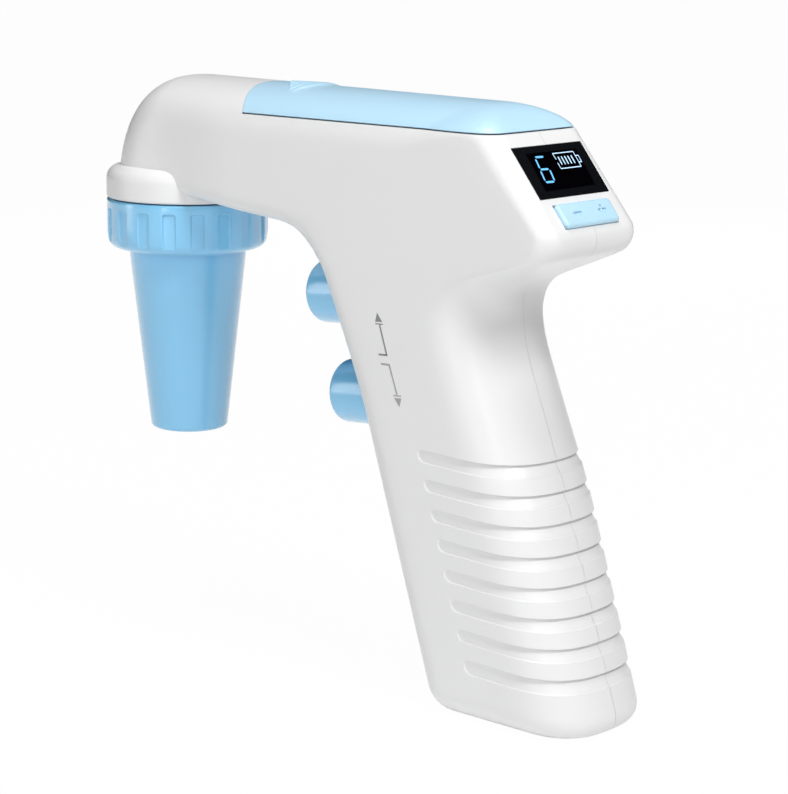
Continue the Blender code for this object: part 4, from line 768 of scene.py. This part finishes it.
def keyMesh():
    low, high = key["top"], key["top"] + key["length"]
    half, proud = key["width"] / 2, key["proud"]
    middle = (low + high) / 2
    mesh = padMesh("key", (low, -half, -0.6), (high, half, proud), key["corner"], key["edge"], facetAxes)
    deep, wide, corner = proud - key["markDepth"], key["markHalf"], key["markCorner"]
    for at in (key["minusAt"], key["plusAt"]):
        bar = padMesh("bar", (middle - wide, at - key["barHalf"], deep),
                      (middle + wide, at + key["barHalf"], proud + 1), corner, 0.05, facetAxes)
        mesh = cutMesh(mesh, bar)
    stem = padMesh("stem", (middle - key["stemHalf"], key["plusAt"] - wide, deep - 0.003),
                   (middle + key["stemHalf"], key["plusAt"] + wide, proud + 0.9), corner, 0.05, facetAxes)
    mesh = cutMesh(mesh, stem)
    lug = [boxMesh("lug", (middle - 1.5, -1.6, -3.6), (middle + 1.5, 1.6, -0.3), facetAxes)]
    lug += [boxMesh("foot", (middle - 1, y - 1, -1.2), (middle + 1, y + 1, -0.3), facetAxes) for y in (-6, 6)]
    mesh = cutMesh(mesh, joined("lugs", lug), "UNION")
    pinAxes = (facetAxes @ Matrix.Translation((middle, 0, -key["pinDepth"]))
               @ Matrix.Rotation(math.radians(90), 4, "Y"))
    pinBore = [(0, -6), (key["pinBore"], -6), (key["pinBore"], 6), (0, 6)]
    return cutMesh(mesh, turnedMesh("keyBore", pinBore, 24, pinAxes))


addPiece("speedKey", smooth(keyMesh(), 32), skyAbs, "speed_rocker", ["speed_rocker"])


# display: a black window, the crystal area behind it and its lit marks
windowBlack = thinFilm("back-printed window", "#0E0F12", "#131418", 0.12, 1.2, 0.0005, IOR=1.49,
                       Specular_IOR_Level=0.35)
litBlue = thinFilm("lit crystal segment", "#6DBCF0", "#64B2E8", 0.3, 0.3, 0.001, Emission_Strength=0.5,
                   Emission_Color=linear("#6DBCF0"))
litPale = thinFilm("lit battery mark", "#BFE0F8", "#B4D8F3", 0.3, 0.3, 0.001, Emission_Strength=0.45,
                   Emission_Color=linear("#BFE0F8"))
screenBlack = thinFilm("unlit crystal area", "#020103", "#040306", 0.15, 1.2, 0.0005, IOR=1.3,
                       Specular_IOR_Level=0.1)
pane = window["gap"]
glass = padMesh("window", (window["top"] + pane, -window["width"] / 2 + pane, -window["thick"]),
                (window["top"] + window["length"] - pane, window["width"] / 2 - pane, -0.02), 0.15, 0.05,
                facetAxes)
addPiece("windowPane", smooth(glass), windowBlack, "housing", ["display_window"])
screen = [(4.87, -7.88), (4.79, 8.53), (13.86, 8.26), (14.02, -8.3)]


def barMesh(work, a, b, width, cut, lift):
    # a flat segment between two points of the facet, with pointed ends
    a, b = Vector((a[0], a[1], 0)), Vector((b[0], b[1], 0))
    way = (b - a).normalized()
    side = Vector((-way.y, way.x, 0)) * width / 2
    a, b = a + way * cut, b - way * cut
    outline = [a, a + way * width / 2 + side, b - way * width / 2 + side, b, b - way * width / 2 - side,
               a + way * width / 2 - side]
    skin(work, [[facetAxes @ (p + Vector((0, 0, z))) for p in outline] for z in (-0.1, lift)])


def marksMesh(name, bars):
    def build(work):
        for a, b, width, cut in bars:
            barMesh(work, a, b, width, cut, 0.012)
    return meshOf(name, build)


def screenMesh():
    def build(work):
        skin(work, [[facetAxes @ Vector((a, y, z)) for a, y in screen] for z in (-0.1, 0.0)])
    return meshOf("screenArea", build)


addPiece("screenArea", screenMesh(), screenBlack, "housing")

# ends, width and cut-back of each lit segment, down the facet and across it
digit = [((5.85, -5.6), (5.93, -3.05), 0.46, -0.05), ((6.3, -5.85), (8.5, -6.15), 0.44, -0.05),
         ((8.83, -6.1), (8.9, -3.6), 0.46, -0.05), ((9.2, -6.35), (11.5, -6.7), 0.44, -0.05),
         ((9.2, -3.35), (11.75, -3.8), 0.44, -0.05), ((11.9, -6.7), (11.98, -4.1), 0.46, -0.05)]
outline = [((5.45, 0.35), (5.45, 7.1)), ((5.45, 7.1), (6.5, 7.12)), ((6.5, 7.12), (6.5, 8.1)),
           ((6.5, 8.1), (8.1, 8.05)), ((8.1, 8.05), (8.1, 7.12)), ((8.1, 7.12), (9.17, 7.05)),
           ((9.17, 7.05), (9.17, 0.35)), ((9.17, 0.35), (7.75, 0.32)), ((6.9, 0.45), (5.45, 0.35)),
           ((6.5, 7.12), (8.1, 7.12))]
bars = [((6.25, y), (8.33, y - 0.08), 0.34, 0.0) for y in (1.5, 2.57, 3.62, 4.7, 5.8)]
addPiece("screenDigit", marksMesh("screenDigit", digit), litBlue, "housing")
addPiece("screenBattery", marksMesh("screenBattery", [(a, b, 0.22, -0.1) for a, b in outline]), litPale,
         "housing")
addPiece("screenBars", marksMesh("screenBars", bars), litPale, "housing")
print("key and display done")


def innerPlastic(name, colour, worn, roughness, grainMm, depthMm, flow=1.0):
    # glass-filled nylon and acetal: fibre streaks along the flow, dull where the fibres surface
    made, shader = startFinish(name, colour, roughness)
    spot = addNode(made, "ShaderNodeTexCoord").outputs["Object"]
    stretched = addNode(made, "ShaderNodeMapping", None, {"Vector": spot, "Scale": (1.0 / flow, 1.0, 1.0)})
    grain = addNode(made, "ShaderNodeTexNoise", None, {"Vector": stretched.outputs["Vector"],
                                                       "Scale": 1000 / grainMm, "Detail": 4.0})
    surface = rubbed(made, colour, worn)
    return finishFrom(made, shader, surface, grain.outputs["Fac"], 0.09, depthMm, roughness)


def workedMetal(name, colour, worn, roughness, lineMm, depthMm, across=(1.0, 0.05, 1.0)):
    # turned, drawn or rolled steel: fine lines left by the tool, brighter where parts have rubbed
    made, shader = startFinish(name, colour, roughness, Metallic=1.0)
    spot = addNode(made, "ShaderNodeTexCoord").outputs["Object"]
    stretched = addNode(made, "ShaderNodeMapping", None, {"Vector": spot, "Scale": across})
    lines = addNode(made, "ShaderNodeTexNoise", None,
                    {"Vector": stretched.outputs["Vector"], "Scale": 1000 / lineMm, "Detail": 5.0,
                     "Roughness": 0.7})
    surface = rubbed(made, colour, worn)
    return finishFrom(made, shader, surface, lines.outputs["Fac"], 0.12, depthMm, roughness)


def castRubber(name, colour, worn, roughness, specMm, depthMm, **sockets):
    # moulded silicone and nitrile: matt skin with tiny pits, dusted with talc
    made, shader = startFinish(name, colour, roughness, **sockets)
    spot = addNode(made, "ShaderNodeTexCoord").outputs["Object"]
    pits = addNode(made, "ShaderNodeTexVoronoi", None, {"Vector": spot, "Scale": 1000 / specMm})
    surface = rubbed(made, colour, worn)
    return finishFrom(made, shader, surface, pits.outputs["Distance"], 0.08, depthMm, roughness)


def circuitBoard(name, mask, copper, ink):
    # FR4 under green solder mask: copper runs stand 35 microns proud and look paler through the mask
    made, shader = startFinish(name, mask, 0.35)
    spot = addNode(made, "ShaderNodeTexCoord").outputs["Object"]
    runs = addNode(made, "ShaderNodeTexBrick", {"offset": 0.5},
                   {"Vector": spot, "Scale": 1.0, "Color1": linear(copper), "Color2": linear(copper),
                    "Mortar": linear(mask), "Mortar Size": 0.25 * mm, "Brick Width": 3.2 * mm,
                    "Row Height": 0.9 * mm})
    weave = addNode(made, "ShaderNodeTexWave", {"bands_direction": "DIAGONAL"},
                    {"Vector": spot, "Scale": 300.0, "Distortion": 3.0, "Detail": 2.0})
    surface = rubbed(made, runs.outputs["Color"], ink)
    return finishFrom(made, shader, surface, weave.outputs["Fac"], 0.06, 0.03, 0.4)


def clearPane(name, tint, roughness):
    # polished glass and polariser film: a deep tint with faint cloudiness and finger haze
    made, shader = startFinish(name, tint, roughness, IOR=1.52, Coat_Weight=0.4)
    spot = addNode(made, "ShaderNodeTexCoord").outputs["Object"]
    haze = addNode(made, "ShaderNodeTexNoise", None, {"Vector": spot, "Scale": 180.0, "Detail": 3.0})
    surface = rubbed(made, tint, "#9AA6B0", 0.55, 0.66)
    return finishFrom(made, shader, surface, haze.outputs["Fac"], 0.04, 0.002, roughness)


def sleevedCell(name):
    # printed PVC shrink sleeve round the can, nickelled steel where the ends stay bare
    made, shader = startFinish(name, "#2C5FA8", 0.35)
    spot = addNode(made, "ShaderNodeTexCoord").outputs["Object"]
    facing = addNode(made, "ShaderNodeNewGeometry")
    along = addNode(made, "ShaderNodeVectorMath", {"operation": "DOT_PRODUCT"},
                    {0: facing.outputs["Normal"], 1: (1.0, 0.0, 0.0)})
    bare = addNode(made, "ShaderNodeMath", {"operation": "ABSOLUTE"}, {0: along.outputs["Value"]})
    bare = addNode(made, "ShaderNodeMapRange", None,
                   {"Value": bare.outputs[0], "From Min": 0.90, "From Max": 0.96})
    colour = addNode(made, "ShaderNodeMix", {"data_type": "RGBA"},
                     {"Factor": bare.outputs["Result"], 6: linear("#2C5FA8"), 7: linear("#B9BABD")})
    wrinkle = addNode(made, "ShaderNodeTexNoise", None, {"Vector": spot, "Scale": 900.0, "Detail": 3.0})
    made.node_tree.links.new(bare.outputs["Result"], shader.inputs["Metallic"])
    return finishFrom(made, shader, colour.outputs[2], wrinkle.outputs["Fac"], 0.10, 0.01, 0.34)


lengthwise = (0.05, 1.0, 1.0)
insideFinishes = {
    innerPlastic("black glass-filled nylon", "#17181A", "#3A3C40", 0.5, 0.5, 0.02, 6.0):
        ("battery_tray", "pump_head"),
    innerPlastic("charging socket PBT", "#141416", "#45474A", 0.42, 0.3, 0.01): ("charge_socket",),
    innerPlastic("switch body PBT", "#101113", "#5A5C60", 0.38, 0.2, 0.01):
        ("speed_down_switch", "speed_up_switch"),
    innerPlastic("turned grey acetal", "#8C8F94", "#C2C4C8", 0.42, 0.25, 0.01, 0.05): ("valve_block",),
    innerPlastic("grey filled polypropylene", "#9A9DA2", "#BFC1C5", 0.48, 0.6, 0.02): ("nose_spigot",),
    sleevedCell("lithium cell sleeve"): ("battery_cell",),
    workedMetal("nickelled spring strip", "#C9C6BD", "#F0EEE8", 0.28, 0.15, 0.004): ("battery_contact",),
    workedMetal("drawn spring wire", "#A9A8A6", "#E4E3E0", 0.30, 0.08, 0.003, lengthwise):
        ("battery_spring", "aspirate_spring", "dispense_spring"),
    workedMetal("ground stainless rod", "#C5C6C8", "#EDEDED", 0.2, 0.05, 0.002, (1.0, 1.0, 0.05)):
        ("aspirate_stem", "dispense_stem", "rocker_pin"),
    workedMetal("deep-drawn motor can", "#A5A8AD", "#DADCDF", 0.34, 0.3, 0.006): ("pump_motor",),
    workedMetal("zinc-plated screw steel", "#B6B9C2", "#E9EAEE", 0.3, 0.1, 0.005):
        tuple(f"housing_screw_{k}" for k in range(1, 6)),
    castRubber("nitrile seal", "#141414", "#343434", 0.62, 0.25, 0.01): ("aspirate_seal", "dispense_seal"),
    castRubber("food-grade silicone", "#D5D4CC", "#ECEBE6", 0.5, 0.3, 0.01, Subsurface_Weight=0.25,
               Subsurface_Radius=(1.2 * mm, 1.1 * mm, 1.0 * mm)): ("pipette_holder",),
    castRubber("silicone tube", "#DDDDD8", "#F2F2EE", 0.34, 0.6, 0.006, Transmission_Weight=0.35, IOR=1.41):
        ("nose_tube", "suction_tube", "pressure_tube"),
    castRubber("expanded PTFE membrane", "#F1F1EC", "#FAFAF7", 0.75, 0.12, 0.01): ("hydrophobic_filter",),
    circuitBoard("green solder mask", "#0F5A33", "#1C7A48", "#E8EAE4"): ("display_board", "main_board"),
    clearPane("liquid crystal cell", "#3C444C", 0.12): ("lcd_module",),
}
for finish, owners in insideFinishes.items():
    for owner in owners:
        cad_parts[owner].material_slots[0].material = finish
print("inside pieces finished:", sum(len(owners) for owners in insideFinishes.values()))


# printed arrows on the left flank
darkInk = thinFilm("pad-printed grey ink", "#8E8E8F", "#868687", 0.5, 0.15, 0.002)
paleInk = thinFilm("pad-printed pale grey ink", "#A9A9AA", "#A2A2A3", 0.5, 0.15, 0.002)


def arrowMesh(name, head, strokes):
    # flat print: a filled head and strokes given by their two ends and their width
    shapes = [head]
    for (ax, az), (bx, bz), width in strokes:
        way = Vector((bx - ax, bz - az)).normalized()
        side = Vector((-way.y, way.x)) * width / 2
        shapes.append([(ax + side.x, az + side.y), (bx + side.x, bz + side.y), (bx - side.x, bz - side.y),
                       (ax - side.x, az - side.y)])

    def build(work):
        for points in shapes:
            skin(work, [[place(x, side, z) for x, z in points]
                        for side in (-body["halfWidth"] + 0.1, -body["halfWidth"] - 0.02)])
    return meshOf(name, build)


upArrow = arrowMesh("upArrow", [(75.33, -17.4), (74.82, -19.4), (76.88, -19.25)],
                    [((74.9, -19.82), (77.05, -19.75), 0.26), ((76.1, -19.95), (78.2, -26.2), 0.42),
                     ((78.4, -26.23), (75.9, -26.35), 0.42)])
downArrow = arrowMesh("downArrow", [(80.44, -35.22), (82.5, -35.05), (81.97, -37.0)],
                      [((76.6, -28.33), (79.1, -28.24), 0.42), ((78.95, -28.3), (81.25, -34.4), 0.40),
                       ((80.25, -34.7), (82.42, -34.58), 0.26)])
addPiece("upArrow", upArrow, darkInk, "housing")
addPiece("downArrow", downArrow, paleInk, "housing")


# camera, floor and light
camera = {"spot": (420.573, -393.551, 68.309), "azimuth": 42.0, "elevation": 11.488, "roll": 0.453,
          "lens": 110.41}
az, el, roll = [math.radians(camera[k]) for k in ("azimuth", "elevation", "roll")]
ahead = -Vector((math.sin(az) * math.cos(el), -math.cos(az) * math.cos(el), math.sin(el)))
right = Vector((math.cos(az), math.sin(az), 0))
up = right.cross(ahead)
rightRolled = right * math.cos(roll) + up * math.sin(roll)
upRolled = rightRolled.cross(ahead)
view = bpy.data.cameras.new("photoView")
view.lens = camera["lens"]
view.clip_start = 0.01
viewer = bpy.data.objects.new("photoView", view)
turn = Matrix((rightRolled, upRolled, -ahead)).transposed().to_4x4()
viewer.matrix_world = Matrix.Translation(place(*camera["spot"])) @ turn
bpy.context.scene.collection.objects.link(viewer)
bpy.context.scene.camera = viewer


def paleFloor():
    # a matt sweep that the camera and the gloss see as white, with a trace of the object's shadow
    made, shader = startFinish("pale floor", "#F4F4F4", 0.9)
    tree = made.node_tree
    path = addNode(made, "ShaderNodeLightPath")
    seen = addNode(made, "ShaderNodeMath", {"operation": "MAXIMUM"},
                   {0: path.outputs["Is Camera Ray"], 1: path.outputs["Is Glossy Ray"]})
    glow = addNode(made, "ShaderNodeEmission", None, {"Color": linear("#FFFFFF"), "Strength": 1.0})
    share = addNode(made, "ShaderNodeMath", {"operation": "MULTIPLY"}, {0: seen.outputs[0], 1: 0.98})
    mix = addNode(made, "ShaderNodeMixShader", None,
                  {0: share.outputs[0], 1: shader.outputs[0], 2: glow.outputs[0]})
    tree.links.new(mix.outputs[0], tree.nodes["Material Output"].inputs["Surface"])
    return made


floorMesh = meshOf("floor", lambda work: bmesh.ops.create_grid(work, x_segments=1, y_segments=1, size=6.0))
floorMesh.materials.append(paleFloor())
floor = bpy.data.objects.new("floor", floorMesh)
bpy.context.scene.collection.objects.link(floor)

world = bpy.data.worlds.new("studio")
bpy.context.scene.world = world
world.use_nodes = True
tree = world.node_tree
sky = tree.nodes["Background"]
sky.inputs["Strength"].default_value = 0.0  # the lamps alone light the object
path = tree.nodes.new("ShaderNodeLightPath")
white = tree.nodes.new("ShaderNodeBackground")
white.inputs["Strength"].default_value = 1.0
seen = tree.nodes.new("ShaderNodeMixShader")
tree.links.new(path.outputs["Is Camera Ray"], seen.inputs[0])
tree.links.new(sky.outputs[0], seen.inputs[1])
tree.links.new(white.outputs[0], seen.inputs[2])
tree.links.new(seen.outputs[0], tree.nodes["World Output"].inputs["Surface"])

lamps = {
    "frontBox": {"azimuth": 40, "elevation": 25, "distance": 0.85, "size": (0.30, 0.30), "watts": 1.35},
    "leftStrip": {"azimuth": 10, "elevation": 14, "distance": 0.85, "size": (0.07, 0.60), "watts": 0.8},
    "farLeftBox": {"azimuth": -46, "elevation": 8, "distance": 0.85, "size": (0.14, 0.45), "watts": 0.75},
    "topBox": {"azimuth": 42, "elevation": 84, "distance": 0.85, "size": (0.40, 0.40), "watts": 3.2},
    "rearTopBox": {"azimuth": 74, "elevation": 49, "distance": 0.85, "size": (0.25, 0.25), "watts": 4.0},
    "backFill": {"azimuth": 215, "elevation": 18, "distance": 0.85, "size": (0.40, 0.40), "watts": 1.6},
}
aim = Vector((0.01, 0, 0.075))  # the middle of the housing
for name, lamp in lamps.items():
    data = bpy.data.lights.new(name, "AREA")
    data.shape = "RECTANGLE"
    data.size, data.size_y = lamp["size"]
    data.energy = lamp["watts"]
    item = bpy.data.objects.new(name, data)
    turnTo, rise = math.radians(lamp["azimuth"]), math.radians(lamp["elevation"])
    away = Vector((math.sin(turnTo) * math.cos(rise), -math.cos(turnTo) * math.cos(rise), math.sin(rise)))
    item.location = aim + away * lamp["distance"]
    item.visible_camera = False
    item.visible_glossy = name != "backFill"  # the fill lifts the far side and leaves no sheen on the crest
    item.rotation_euler = (-away).to_track_quat("-Z", "Y").to_euler()
    bpy.context.scene.collection.objects.link(item)

bpy.context.scene.view_settings.view_transform = "Standard"
print("camera, floor and light done")
